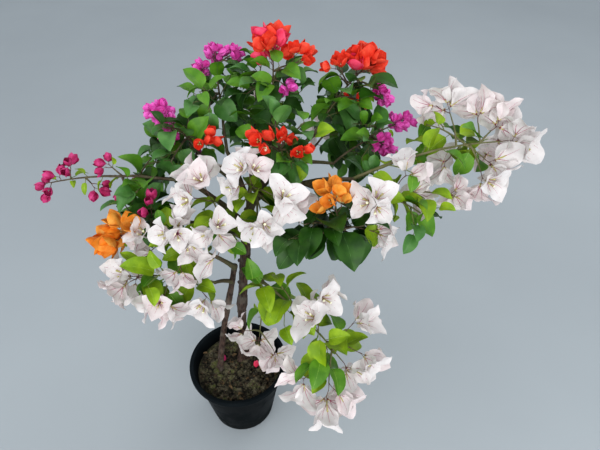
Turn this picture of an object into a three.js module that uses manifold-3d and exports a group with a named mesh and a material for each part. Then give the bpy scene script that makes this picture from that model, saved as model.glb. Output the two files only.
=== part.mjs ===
// A grafted bougainvillea in a black nursery pot. Two stems rise from the soil, and boughs
// spread from them into masses of leaves and bracts in white, magenta, red and orange.
// Millimetres, +Z up. The origin is the centre of the pot's flat underside, and a place is
// written as [right, back, up] from there.
import * as THREE from 'three';
import { mergeVertices } from 'three/addons/utils/BufferGeometryUtils.js';
import Module from 'manifold-3d';

const wasm = await Module();
wasm.setup();

// Driving dimensions

const CLEARANCE = 0.3;
const UP = new THREE.Vector3(0, 0, 1);
const TURN = 2 * Math.PI;
const GOLDEN_ANGLE = THREE.MathUtils.degToRad(137.5);

const pot = {
  height: 215, rimRadius: 130, rimWidth: 9, rimDepth: 14, footRadius: 86, footChamfer: 3,
  wall: 2.6, floor: 4, collarDrop: 26, collarStep: 2.5, rounding: 3.5, sides: 32,
};
const drain = { holes: 6, radius: 6, circle: 62, sides: 6 };
const soilLevel = pot.height - 38;
const foot = soilLevel + CLEARANCE;

const limb = { sides: 6, stemSides: 8, span: 48 };
const shoot = {
  rise: 0.12, lowestRoot: 0.05, rootShare: 0.7, highestRoot: 0.85, sunk: 0.98, thickness: 0.85,
};
const twig = { sides: 3, radius: 2.4, tipRadius: 1.4, span: 75 };
const sideTwig = {
  pitch: 104, share: [0.3, 0.85], length: [48, 78], radius: 1.9, forward: 0.7, lift: [-0.1, 0.4], swing: 2,
};
const leaf = {
  length: 86, width: 58, thickness: 1.7, widest: 0.46, thickest: 0.28, fold: 0.1, hang: 0.12,
  pitch: 46, first: 0.2, firstOnTwig: 0.4, last: 0.97, belowHead: 0.86,
  forward: 0.6, droop: [0.1, 0.6], upright: 0.9, size: [1.05, 0.8], tries: 5,
};
const flowers = {
  white: { length: 52, reach: 38, lip: 0.86, throat: 0.62 },
  red: { length: 42, reach: 27, lip: 0.86, throat: 0.74 },
  orange: { length: 44, reach: 27, lip: 0.86, throat: 0.74 },
  magenta: { length: 32, reach: 12, lip: 0.6, throat: 1 },
};
// Each flower of a solid stands for two or three.
const flowerHead = { share: 0.42, root: 0.985, step: 0.04, first: 0.15, spread: [0.75, 1.35] };
const bladeRoom = 1.2;

const finishes = {
  plastic: { color: 0x1d2226, roughness: 0.55, metalness: 0 },
  soil: { color: 0x4a4130, roughness: 1, metalness: 0 },
  bark: { color: 0x51403a, roughness: 0.9, metalness: 0 },
  darkLeaf: { color: 0x2f5f2c, roughness: 0.5, metalness: 0 },
  lightLeaf: { color: 0x7aa52b, roughness: 0.5, metalness: 0 },
};

// The two stems, from their flat cut at the soil to the fork. Each knot is a place and a radius,
// and the swellings part way up the trunk are healed grafts.
const stems = {
  trunk: [
    [[8, 36, foot], 19], [[9, 36, 190], 14.5], [[12, 35, 230], 11.5], [[17, 34, 330], 10.5],
    [[20, 33, 385], 10.8], [[23, 32, 415], 13.8], [[27, 32, 445], 11], [[34, 33, 520], 10.2],
    [[42, 34, 575], 12.2], [[47, 35, 625], 10.4], [[52, 37, 665], 11.6], [[58, 41, 700], 8.5],
  ],
  second_stem: [
    [[-52, 0, foot], 11.5], [[-50, 0, 190], 8.6], [[-39, -2, 270], 7.6], [[-18, -6, 390], 7.2],
    [[-4, -9, 455], 8], [[8, -10, 510], 6.8], [[24, -12, 590], 6.2],
  ],
};

// Each bough leaves another limb a share of the way up it and runs to its tip, raised in the
// middle by a share of its length. It tapers from the first radius to the second.
const boughs = {
  bough_left: { on: 'trunk', share: 0.93, tip: [-62, 57, 765], rise: 0.08, radii: [7, 4.6] },
  bough_left_low: { on: 'trunk', share: 0.86, tip: [-50, 12, 694], rise: 0.06, radii: [6, 4] },
  bough_front_left: { on: 'second_stem', share: 0.985, tip: [-8, -48, 652], rise: 0.06, radii: [5.6, 3.8] },
  bough_front_low: { on: 'second_stem', share: 0.87, tip: [-14, -62, 588], rise: 0.1, radii: [5, 3.4] },
  bough_front: { on: 'trunk', share: 0.9, tip: [26, -40, 706], rise: 0.08, radii: [5.6, 3.8] },
  bough_centre: { on: 'trunk', share: 0.985, tip: [84, -12, 772], rise: 0.08, radii: [6, 4] },
  bough_front_right: { on: 'trunk', share: 0.95, tip: [152, -28, 738], rise: 0.12, radii: [6.4, 4.2] },
  bough_hanging: { on: 'trunk', share: 0.76, tip: [89, -49, 573], rise: 0.14, radii: [5, 3.6] },
  bough_low: { on: 'bough_hanging', share: 0.72, tip: [84, -46, 505], rise: -0.06, radii: [3, 2.4] },
  leader: { on: 'trunk', share: 0.999, tip: [112, 48, 806], rise: 0.05, radii: [8, 4.8] },
  bough_right: { on: 'leader', share: 0.3, tip: [270, -8, 817], rise: 0.14, radii: [6.6, 4.2] },
  bough_right_low: { on: 'bough_right', share: 0.55, tip: [262, -42, 776], rise: 0.06, radii: [4.4, 3.4] },
  bough_top: { on: 'leader', share: 0.55, tip: [110, 122, 846], rise: 0.06, radii: [5.6, 3.8] },
  bough_back_right: { on: 'leader', share: 0.45, tip: [196, 128, 834], rise: 0.08, radii: [6, 4] },
  bough_crown_right: { on: 'bough_back_right', share: 0.5, tip: [236, 62, 806], rise: 0.06, radii: [5, 3] },
  bough_low_right: { on: 'bough_back_right', share: 0.32, tip: [196, 178, 768], rise: 0.1, radii: [5, 3] },
  bough_back_left: { on: 'leader', share: 0.12, tip: [14, 104, 812], rise: 0.06, radii: [6, 4] },
  bough_crown_left: { on: 'bough_back_left', share: 0.5, tip: [-34, 84, 806], rise: 0.06, radii: [5, 3] },
  bough_back: { on: 'trunk', share: 0.95, tip: [60, 150, 742], rise: 0.1, radii: [6, 4] },
  bough_low_left: { on: 'bough_back', share: 0.4, tip: [-36, 156, 744], rise: 0.1, radii: [4.6, 3.4] },
};

// Each mass grows on from its bough's tip. Its first shoot is its stem, and the others branch
// from that. A shoot has the place of its tip, the flowers in its head, their kind where it
// isn't the mass's own, and the share of it that bears side twigs and leaves.
const masses = {
  left_cane: {
    on: 'bough_left', leaves: 'darkLeaf', kind: 'magenta', seed: 11,
    shoots: [
      { to: [-362, 50, 768], head: 5, leafy: 0.42 }, { to: [-190, 36, 752], head: 3, leafy: 0.6 },
      { to: [-254, 46, 758], head: 3, leafy: 0 }, { to: [-300, 60, 800], head: 3, leafy: 0 },
      { to: [-226, 62, 812], head: 2, leafy: 0 }, { to: [-140, 96, 800], head: 0 },
    ],
  },
  left_foliage: {
    on: 'bough_left_low', leaves: 'darkLeaf', kind: 'orange', seed: 12,
    shoots: [
      { to: [-232, -26, 682], head: 6, leafy: 0.8 }, { to: [-190, 12, 742], head: 0 },
      { to: [-128, -8, 758], head: 3, kind: 'magenta' }, { to: [-150, 44, 704], head: 0 },
    ],
  },
  front_left_blossom: {
    on: 'bough_front_left', leaves: 'lightLeaf', kind: 'white', seed: 13,
    shoots: [
      { to: [-148, -46, 712], head: 5 }, { to: [-66, -56, 730], head: 5 },
      { to: [-60, -110, 676], head: 2 },
    ],
  },
  front_left_spray: {
    on: 'bough_front_low', leaves: 'lightLeaf', kind: 'white', seed: 14,
    shoots: [
      { to: [-196, -96, 650], head: 5 }, { to: [-108, -138, 600], head: 6 },
      { to: [-28, -100, 604], head: 3 }, { to: [-176, -66, 606], head: 4 },
    ],
  },
  front_blossom: {
    on: 'bough_front', leaves: 'lightLeaf', kind: 'white', seed: 15,
    shoots: [
      { to: [-26, 0, 818], head: 4 }, { to: [-18, -30, 786], head: 4 },
      { to: [10, -74, 756], head: 4 }, { to: [12, -96, 690], head: 1 },
    ],
  },
  centre_blossom: {
    on: 'bough_centre', leaves: 'lightLeaf', kind: 'white', seed: 16,
    shoots: [
      { to: [74, -30, 842], head: 5 }, { to: [146, -76, 816], head: 5 },
      { to: [104, -94, 772], head: 4 },
    ],
  },
  front_right_foliage: {
    on: 'bough_front_right', leaves: 'darkLeaf', kind: 'orange', seed: 17,
    shoots: [
      { to: [268, -100, 722], head: 0 }, { to: [222, -84, 782], head: 0 },
      { to: [172, -92, 700], head: 0 }, { to: [226, -60, 834], head: 5 },
      { to: [306, -74, 752], head: 4, kind: 'white' }, { to: [222, -96, 704], head: 0 },
      { to: [164, -96, 752], head: 0 },
    ],
  },
  right_blossom: {
    on: 'bough_right_low', leaves: 'lightLeaf', kind: 'white', seed: 18,
    shoots: [
      { to: [398, -8, 790], head: 4 }, { to: [302, -62, 806], head: 4 },
      { to: [362, -10, 826], head: 3 }, { to: [478, 8, 776], head: 4 },
      { to: [410, -46, 756], head: 0 },
    ],
  },
  right_cane: {
    on: 'bough_right', leaves: 'lightLeaf', kind: 'white', seed: 19,
    shoots: [
      { to: [606, 84, 856], head: 5, leafy: 0.75 }, { to: [467, 160, 904], head: 5, leafy: 0.4 },
      { to: [520, 126, 896], head: 4, leafy: 0.3 }, { to: [562, 104, 876], head: 4, leafy: 0.3 },
      { to: [556, 46, 812], head: 5, leafy: 0.5 }, { to: [540, 16, 780], head: 4, leafy: 0.5 },
      { to: [456, 56, 812], head: 3, leafy: 0.5 }, { to: [420, 104, 872], head: 0 },
    ],
  },
  hanging_cane: {
    on: 'bough_hanging', leaves: 'lightLeaf', kind: 'white', seed: 20,
    shoots: [
      { to: [288, -176, 420], head: 5 }, { to: [205, -86, 580], head: 3 },
      { to: [206, -126, 534], head: 3 }, { to: [276, -116, 526], head: 4 },
      { to: [304, -152, 472], head: 4 }, { to: [172, -200, 416], head: 5 },
      { to: [224, -232, 398], head: 6 },
    ],
  },
  low_blossom: {
    on: 'bough_low', leaves: 'lightLeaf', kind: 'white', seed: 21,
    shoots: [
      { to: [62, -16, 308], head: 5, leafy: 0.7 }, { to: [22, -10, 356], head: 3, leafy: 0 },
      { to: [106, -34, 304], head: 4, leafy: 0 },
    ],
  },
  crown_centre: {
    on: 'leader', leaves: 'darkLeaf', kind: 'red', seed: 22,
    shoots: [
      { to: [140, 18, 898], head: 5 }, { to: [98, 10, 886], head: 3 },
      { to: [182, -18, 884], head: 3 }, { to: [60, 50, 868], head: 0 },
      { to: [176, 64, 900], head: 0 }, { to: [118, 96, 906], head: 0 },
    ],
  },
  crown_top: {
    on: 'bough_top', leaves: 'darkLeaf', kind: 'red', seed: 23,
    shoots: [
      { to: [110, 236, 986], head: 11 }, { to: [184, 198, 968], head: 4 },
      { to: [140, 152, 936], head: 2, kind: 'magenta' }, { to: [58, 160, 910], head: 0 },
      { to: [60, 226, 930], head: 0 }, { to: [168, 246, 916], head: 0 },
    ],
  },
  crown_right_top: {
    on: 'bough_back_right', leaves: 'darkLeaf', kind: 'red', seed: 24,
    shoots: [
      { to: [292, 208, 962], head: 11 }, { to: [226, 188, 962], head: 4 },
      { to: [244, 112, 912], head: 0 }, { to: [336, 200, 884], head: 5, kind: 'magenta' },
      { to: [300, 136, 902], head: 0 }, { to: [250, 246, 910], head: 0 },
    ],
  },
  crown_right: {
    on: 'bough_crown_right', leaves: 'darkLeaf', kind: 'magenta', seed: 25,
    shoots: [
      { to: [396, 166, 852], head: 7, leafy: 0.7 }, { to: [346, 76, 830], head: 5 },
      { to: [310, 36, 852], head: 0 }, { to: [304, 96, 874], head: 0 },
    ],
  },
  crown_left_top: {
    on: 'bough_back_left', leaves: 'darkLeaf', kind: 'magenta', seed: 26,
    shoots: [
      { to: [-22, 292, 954], head: 5 }, { to: [32, 292, 950], head: 5 },
      { to: [-54, 254, 926], head: 4 }, { to: [-16, 124, 896], head: 0 },
      { to: [30, 190, 910], head: 0 }, { to: [-72, 200, 880], head: 0 },
    ],
  },
  crown_left: {
    on: 'bough_crown_left', leaves: 'darkLeaf', kind: 'magenta', seed: 27,
    shoots: [
      { to: [-134, 150, 890], head: 7, leafy: 0.8 }, { to: [-100, 116, 850], head: 3 },
      { to: [-90, 50, 818], head: 0 }, { to: [-18, 70, 850], head: 3, kind: 'red' },
      { to: [-56, 112, 876], head: 0 },
    ],
  },
  back_centre: {
    on: 'bough_back', leaves: 'darkLeaf', kind: 'white', seed: 28,
    shoots: [
      { to: [66, 330, 838], head: 5 }, { to: [126, 292, 768], head: 0 },
      { to: [2, 286, 790], head: 3, kind: 'magenta' }, { to: [72, 258, 872], head: 0 },
    ],
  },
  back_right: {
    on: 'bough_low_right', leaves: 'darkLeaf', kind: 'red', seed: 29,
    shoots: [
      { to: [300, 268, 828], head: 6 }, { to: [232, 306, 752], head: 5, kind: 'white' },
      { to: [352, 188, 774], head: 4, kind: 'magenta' }, { to: [268, 226, 706], head: 0 },
    ],
  },
  back_left: {
    on: 'bough_low_left', leaves: 'darkLeaf', kind: 'magenta', seed: 30,
    shoots: [
      { to: [-150, 232, 806], head: 5 }, { to: [-82, 284, 756], head: 4, kind: 'white' },
      { to: [-164, 162, 738], head: 0 }, { to: [-62, 226, 694], head: 3 },
    ],
  },
};

// Random numbers that come out the same on every run

function numbersFrom(seed) {
  let state = seed;
  return () => {
    state = (state * 48271) % 2147483647;
    return state / 2147483647;
  };
}

const between = ([from, to], share) => THREE.MathUtils.lerp(from, to, share);

// Solids

// A closed geometry as a solid, with each corner moved to its place.
function solidFrom(geometry, move = (corner) => corner) {
  geometry.deleteAttribute('normal');
  geometry.deleteAttribute('uv');
  const { index, attributes: { position } } = mergeVertices(geometry);
  const corners = Array.from({ length: position.count }, (_, i) => (
    move(new THREE.Vector3().fromBufferAttribute(position, i)).toArray()
  ));
  const faces = [];
  for (let i = 0; i < index.count; i += 3) {
    const face = [index.getX(i), index.getX(i + 1), index.getX(i + 2)];
    if (new Set(face).size === 3) faces.push(face);
  }
  return new wasm.Manifold(new wasm.Mesh({
    numProp: 3,
    vertProperties: new Float32Array(corners.flat()),
    triVerts: new Uint32Array(faces.flat()),
  }));
}

// The largest of a solid's bodies, so loose scraps are dropped and sealed hollows are filled.
function mainBody(solid) {
  const bodies = solid.simplify(CLEARANCE / 10).decompose();
  return bodies.sort((a, b) => b.volume() - a.volume())[0];
}

function turnedSolid(profile, sides) {
  const outline = profile.map(([radius, height]) => new THREE.Vector2(radius, height));
  return solidFrom(new THREE.LatheGeometry(outline, sides).rotateX(Math.PI / 2));
}

// A closed tapering limb: a cylinder whose rings are set round the points that the limb runs
// through. The foot of a stem is cut level where it stands on the soil.
function limbSolid(points, radii, sides) {
  let across = new THREE.Vector3(1, 0, 0);
  const rings = points.map((point, i) => {
    const along = new THREE.Vector3().subVectors(points[i + 1] ?? point, points[i - 1] ?? point).normalize();
    if (point.z <= foot) along.copy(UP);
    across = across.clone().addScaledVector(along, -across.dot(along)).normalize();
    return { point, radius: radii[i], across, other: across.clone().cross(along) };
  });
  const steps = points.length - 1;
  return solidFrom(new THREE.CylinderGeometry(1, 1, 1, sides, steps), ({ x, y, z }) => {
    const ring = rings[Math.round((y + 0.5) * steps)];
    return ring.point.clone()
      .addScaledVector(ring.across, ring.radius * x)
      .addScaledVector(ring.other, ring.radius * z);
  });
}

// A thin folded blade of eight faces. Its root is at the middle of the twig, its two sides are
// raised and its tip hangs. A margin gives the room round the leaf.
function leafSolid({ base, along, face, length, width }, margin) {
  const side = new THREE.Vector3().crossVectors(along, face);
  return solidFrom(new THREE.OctahedronGeometry(1), ({ x, y, z }) => {
    const point = base.clone().addScaledVector(side, x * (width / 2 + margin));
    if (Math.abs(x) > 0.5) {
      return point.addScaledVector(along, leaf.widest * length).addScaledVector(face, leaf.fold * width);
    }
    if (Math.abs(z) > 0.5) {
      const half = leaf.thickness / 2 + margin;
      return point.addScaledVector(along, leaf.thickest * length).addScaledVector(face, z * half);
    }
    return y > 0 ? point.addScaledVector(along, length).addScaledVector(face, -leaf.hang * length) : point;
  });
}

// Three bracts that open from one stalk as a funnel, or close over it as a bud.
function flowerSolid({ base, along, across, length, reach, lip, throat }, margin) {
  const other = new THREE.Vector3().crossVectors(along, across);
  return solidFrom(new THREE.ConeGeometry(1, 1, 3), ({ x, y, z }) => {
    if (y > 0) return base.clone();
    const isLip = Math.hypot(x, z) > 0.5;
    return base.clone()
      .addScaledVector(along, (isLip ? lip : throat) * length)
      .addScaledVector(across, x * (reach + margin))
      .addScaledVector(other, z * (reach + margin));
  });
}

// Growth

const place = ([right, back, up]) => new THREE.Vector3(right, back, up);

// A limb or twig is a run of straight lengths, so that what roots on its line is inside it.
function runThrough(points) {
  const run = new THREE.CurvePath();
  points.slice(1).forEach((point, i) => run.add(new THREE.LineCurve3(points[i], point)));
  return run;
}

const pointsOf = (run) => [run.curves[0].v1, ...run.curves.map((length) => length.v2)];

function archTo(root, tip, rise, span) {
  const length = root.distanceTo(tip);
  const middle = root.clone().lerp(tip, 0.5).addScaledVector(UP, rise * length);
  const steps = Math.max(2, Math.round(length / span));
  return runThrough(new THREE.QuadraticBezierCurve3(root, middle, tip).getPoints(steps));
}

function taper([from, to], run) {
  const steps = run.curves.length;
  return Array.from({ length: steps + 1 }, (_, i) => THREE.MathUtils.lerp(from, to, i / steps));
}

function nearestShare(run, point) {
  const shares = Array.from({ length: 25 }, (_, i) => i / 24);
  const gap = (share) => run.getPoint(share).distanceTo(point);
  return shares.reduce((best, share) => (gap(share) < gap(best) ? share : best));
}

// A direction square to another, at an angle round it.
function outFrom(along, angle) {
  const level = Math.abs(along.z) > 0.9 ? new THREE.Vector3(1, 0, 0) : UP;
  const across = new THREE.Vector3().crossVectors(along, level).normalize();
  const other = new THREE.Vector3().crossVectors(along, across);
  return across.multiplyScalar(Math.cos(angle)).addScaledVector(other, Math.sin(angle));
}

// The side twigs of a shoot leave it in turn on a spiral, and lean forward and up.
function sideTwigs(run, leafy, random) {
  const count = Math.floor((run.getLength() * leafy) / sideTwig.pitch);
  return Array.from({ length: count }, (_, i) => {
    const share = leafy * between(sideTwig.share, (i + 0.5) / count);
    const along = run.getTangent(share);
    const direction = outFrom(along, i * GOLDEN_ANGLE + random() * sideTwig.swing)
      .addScaledVector(along, sideTwig.forward)
      .addScaledVector(UP, between(sideTwig.lift, random()))
      .normalize();
    const root = run.getPoint(share);
    return runThrough([root, root.clone().addScaledVector(direction, between(sideTwig.length, random()))]);
  });
}

// A leaf stands off its twig at an angle round it, leans forward and droops, with its face to
// the sky.
function leafAt(run, share, angle, random) {
  const along = run.getTangent(share);
  const direction = outFrom(along, angle)
    .addScaledVector(along, leaf.forward)
    .addScaledVector(UP, -between(leaf.droop, random()))
    .normalize();
  const lean = new THREE.Vector3(random() - 0.5, random() - 0.5, leaf.upright);
  const face = lean.addScaledVector(direction, -lean.dot(direction)).normalize();
  const size = between(leaf.size, share) * between([0.9, 1.1], random());
  return {
    base: run.getPoint(share), along: direction, face, length: leaf.length * size, width: leaf.width * size,
  };
}

// The flowers at a shoot's tip: the first looks along it, and the others stand round it.
function headPlaces(run, count, flower, random) {
  return Array.from({ length: count }, (_, i) => {
    const share = flowerHead.root - flowerHead.step * Math.floor(i / 2);
    const along = run.getTangent(share);
    const spread = i === 0 ? flowerHead.first : between(flowerHead.spread, random());
    const out = outFrom(along, i * GOLDEN_ANGLE + random());
    const direction = along.clone().multiplyScalar(Math.cos(spread)).addScaledVector(out, Math.sin(spread));
    const across = outFrom(direction, random() * TURN);
    return { base: run.getPoint(share), along: direction, across, ...flower };
  });
}

// Room that the limbs and the masses have taken

const taken = [];

function boxOf(solid) {
  const { min, max } = solid.boundingBox();
  return new THREE.Box3(new THREE.Vector3(...min), new THREE.Vector3(...max));
}

function take(owner, solid, isBlade) {
  taken.push({ owner, solid, isBlade, box: boxOf(solid) });
}

// A piece may cross the twigs of its own mass. A leaf stays clear of the leaves there too.
function isClear(owner, solid, isLeaf) {
  const box = boxOf(solid);
  return !taken.some((other) => (other.owner !== owner || (isLeaf && other.isBlade))
    && other.box.intersectsBox(box) && other.solid.intersect(solid).volume() > 0);
}

// The pot and its soil

const outsideRadius = (height) => (
  THREE.MathUtils.lerp(pot.footRadius, pot.rimRadius - pot.rimWidth, height / pot.height)
);
const insideRadius = (height) => outsideRadius(height) - pot.wall;

function drainHole(angle) {
  const hole = turnedSolid([
    [0, -1], [drain.radius, -1], [drain.radius, pot.floor + 1], [0, pot.floor + 1],
  ], drain.sides);
  return hole.translate([drain.circle * Math.cos(angle), drain.circle * Math.sin(angle), 0]);
}

function potSolid() {
  const rimFoot = pot.height - pot.rimDepth;
  const collar = rimFoot - pot.collarDrop;
  const shell = turnedSolid([
    [0, 0], [pot.footRadius - pot.footChamfer, 0], [outsideRadius(pot.footChamfer), pot.footChamfer],
    [outsideRadius(collar), collar], [outsideRadius(collar) + pot.collarStep, collar + pot.collarStep],
    [outsideRadius(rimFoot) + pot.collarStep, rimFoot],
    [pot.rimRadius - pot.rounding / 2, rimFoot], [pot.rimRadius, rimFoot + pot.rounding / 2],
    [pot.rimRadius, pot.height - pot.rounding], [pot.rimRadius - pot.rounding, pot.height],
    [insideRadius(pot.height) + pot.rounding, pot.height],
    [insideRadius(pot.height - pot.rounding), pot.height - pot.rounding],
    [insideRadius(pot.floor), pot.floor], [0, pot.floor],
  ], pot.sides);
  return Array.from({ length: drain.holes }, (_, k) => drainHole((TURN * k) / drain.holes))
    .reduce((made, hole) => made.subtract(hole), shell);
}

function soilSolid() {
  const bottom = pot.floor + CLEARANCE;
  const gap = CLEARANCE / Math.cos(Math.PI / pot.sides);
  return turnedSolid([
    [0, bottom], [insideRadius(bottom) - gap, bottom], [insideRadius(soilLevel) - gap, soilLevel],
    [0, soilLevel],
  ], pot.sides);
}

// The plant, node by node

const plant = new THREE.Group();

function addNode(name, solid, finish) {
  const { vertProperties, triVerts } = solid.getMesh();
  const geometry = new THREE.BufferGeometry()
    .setAttribute('position', new THREE.BufferAttribute(vertProperties, 3))
    .setIndex(new THREE.BufferAttribute(triVerts, 1));
  const mesh = new THREE.Mesh(geometry, new THREE.MeshStandardMaterial(finish));
  mesh.name = name;
  plant.add(mesh);
}

addNode('pot', potSolid(), finishes.plastic);
addNode('soil', soilSolid(), finishes.soil);

// A limb is kept with its run, and with its shape grown by the clearance, which cuts the limbs
// and masses that meet it.
const limbs = {};

function cutByLimbs(solid) {
  return mainBody(Object.values(limbs).reduce((made, { grown }) => made.subtract(grown), solid));
}

function addLimb(name, run, radii, sides) {
  const points = pointsOf(run);
  addNode(name, cutByLimbs(limbSolid(points, radii, sides)), finishes.bark);
  const margin = CLEARANCE / Math.cos(Math.PI / sides);
  const end = points.at(-1).clone().addScaledVector(run.getTangent(1), CLEARANCE);
  const grown = limbSolid([...points.slice(0, -1), end], radii.map((radius) => radius + margin), sides);
  limbs[name] = { run, grown, tipRadius: radii.at(-1) };
  take(name, grown, false);
}

for (const [name, knots] of Object.entries(stems)) {
  const radii = knots.map(([, radius]) => radius);
  addLimb(name, runThrough(knots.map(([spot]) => place(spot))), radii, limb.stemSides);
}

for (const [name, { on, share, tip, rise, radii }] of Object.entries(boughs)) {
  const run = archTo(limbs[on].run.getPoint(share), place(tip), rise, limb.span);
  addLimb(name, run, taper(radii, run), limb.sides);
}

// The shoots of every mass come first, then the side twigs, the flowers and the leaves, so that
// a small piece never takes the room of a large one. What has no room is left out.
const growths = Object.entries(masses).map(([name, mass]) => (
  { name, mass, parts: [], shoots: [], twigs: [] }
));

function fuse({ name, parts }, solid, isBlade) {
  parts.push(solid);
  take(name, solid, isBlade);
}

function twigSolid(run, radius) {
  return limbSolid(pointsOf(run), taper([radius, twig.tipRadius], run), twig.sides);
}

// The first shoot of a mass starts inside its bough, which then cuts it to the clearance.
function stemOf(bough, tip) {
  const run = archTo(bough.run.getPoint(shoot.sunk), tip, shoot.rise, twig.span);
  return { run, solid: twigSolid(run, Math.max(twig.radius, shoot.thickness * bough.tipRadius)) };
}

function branchOf(stem, tip) {
  const share = Math.min(shoot.highestRoot, shoot.lowestRoot + shoot.rootShare * nearestShare(stem, tip));
  const run = archTo(stem.getPoint(share), tip, shoot.rise, twig.span);
  return { run, solid: twigSolid(run, twig.radius) };
}

for (const growth of growths) {
  const { name, mass, shoots } = growth;
  mass.shoots.forEach(({ to, head, kind = mass.kind, leafy = 1 }, i) => {
    const { run, solid } = i === 0 ? stemOf(limbs[mass.on], place(to)) : branchOf(shoots[0].run, place(to));
    if (i > 0 && !isClear(name, solid, false)) return;
    fuse(growth, solid, false);
    const random = numbersFrom(1000 * mass.seed + 37 * i + 5);
    shoots.push({ run, head, leafy, flower: flowers[kind], random });
  });
}

for (const growth of growths) {
  for (const { run, leafy, random } of growth.shoots) {
    for (const side of sideTwigs(run, leafy, random)) {
      const solid = twigSolid(side, sideTwig.radius);
      if (!isClear(growth.name, solid, false)) continue;
      fuse(growth, solid, false);
      growth.twigs.push({ run: side, random });
    }
  }
}

for (const growth of growths) {
  for (const { run, head, flower, random } of growth.shoots) {
    for (const spot of headPlaces(run, Math.ceil(flowerHead.share * head), flower, random)) {
      if (!isClear(growth.name, flowerSolid(spot, bladeRoom), false)) continue;
      fuse(growth, flowerSolid(spot, 0), true);
    }
  }
}

// A leaf that has no room is turned round its twig to the next place, a few times at most.
function addLeaves(growth, run, first, last, random) {
  const count = Math.round((run.getLength() * (last - first)) / leaf.pitch) + 1;
  for (let i = 0; i < count; i++) {
    const share = THREE.MathUtils.lerp(first, last, count > 1 ? i / (count - 1) : 1);
    const spots = Array.from({ length: leaf.tries }, (_, turn) => (
      leafAt(run, share, (i + 0.7 * turn) * GOLDEN_ANGLE + random(), random)
    ));
    const spot = spots.find((each) => isClear(growth.name, leafSolid(each, bladeRoom), true));
    if (spot) fuse(growth, leafSolid(spot, 0), true);
  }
}

for (const growth of growths) {
  for (const { run, head, leafy, random } of growth.shoots) {
    const last = leafy * (head ? leaf.belowHead : leaf.last);
    if (last > leaf.first) addLeaves(growth, run, leaf.first, last, random);
  }
  for (const { run, random } of growth.twigs) {
    addLeaves(growth, run, leaf.firstOnTwig, leaf.last, random);
  }
  const solid = cutByLimbs(wasm.Manifold.union(growth.parts));
  addNode(growth.name, solid, finishes[growth.mass.leaves]);
}

export default plant;
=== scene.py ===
# A grafted bougainvillea in its nursery pot: bare woody stems, a leafy crown, long canes, and
# papery bracts in white, magenta, red and orange. Metres, +Z up. The origin is the centre of the
# pot's flat underside, and a place is written (right, back, up) from there.
from functools import cache
from math import ceil, cos, hypot, pi, radians, sin

import bpy
import numpy as np
from mathutils import Matrix, Vector, noise


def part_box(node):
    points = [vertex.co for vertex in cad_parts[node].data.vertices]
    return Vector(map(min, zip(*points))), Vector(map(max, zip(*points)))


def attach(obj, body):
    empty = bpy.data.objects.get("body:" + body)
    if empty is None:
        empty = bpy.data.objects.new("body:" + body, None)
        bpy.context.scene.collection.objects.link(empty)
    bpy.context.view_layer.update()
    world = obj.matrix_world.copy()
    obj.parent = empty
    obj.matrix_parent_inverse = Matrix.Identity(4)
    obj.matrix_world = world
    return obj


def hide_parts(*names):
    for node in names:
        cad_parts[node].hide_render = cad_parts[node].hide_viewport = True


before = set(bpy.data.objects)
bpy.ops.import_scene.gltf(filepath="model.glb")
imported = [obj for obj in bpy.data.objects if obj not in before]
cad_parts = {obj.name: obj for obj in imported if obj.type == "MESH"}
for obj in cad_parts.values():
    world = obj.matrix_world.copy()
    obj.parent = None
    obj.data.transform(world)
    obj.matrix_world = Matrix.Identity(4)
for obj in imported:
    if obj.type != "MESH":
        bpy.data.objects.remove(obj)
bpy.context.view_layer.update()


# The view. A hand-held camera with a 30 mm lens looks down on the plant from a little above it,
# so that the pot, the whole crown and its long canes are in the frame.

focal_length = 30
eye = (0.167, -0.786, 1.372)
look_down = 40.7
scene = bpy.context.scene


def add_object(name, data):
    """An object in the scene for a camera, a lamp or a mesh."""
    item = bpy.data.objects.new(name, data)
    scene.collection.objects.link(item)
    return item


camera_data = bpy.data.cameras.new("camera")
camera_data.lens = focal_length
camera = add_object("camera", camera_data)
camera.location = eye
camera.rotation_euler = (radians(90 - look_down), 0, 0)
scene.camera = camera
scene.view_settings.view_transform = "Standard"
scene.view_settings.look = "Medium High Contrast"


# The stage. The plant stands on a plain pale floor under an even cloudy sky. Three large soft
# lamps stand round it: one high at the front left, one high behind it and a lower one in front.

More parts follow.
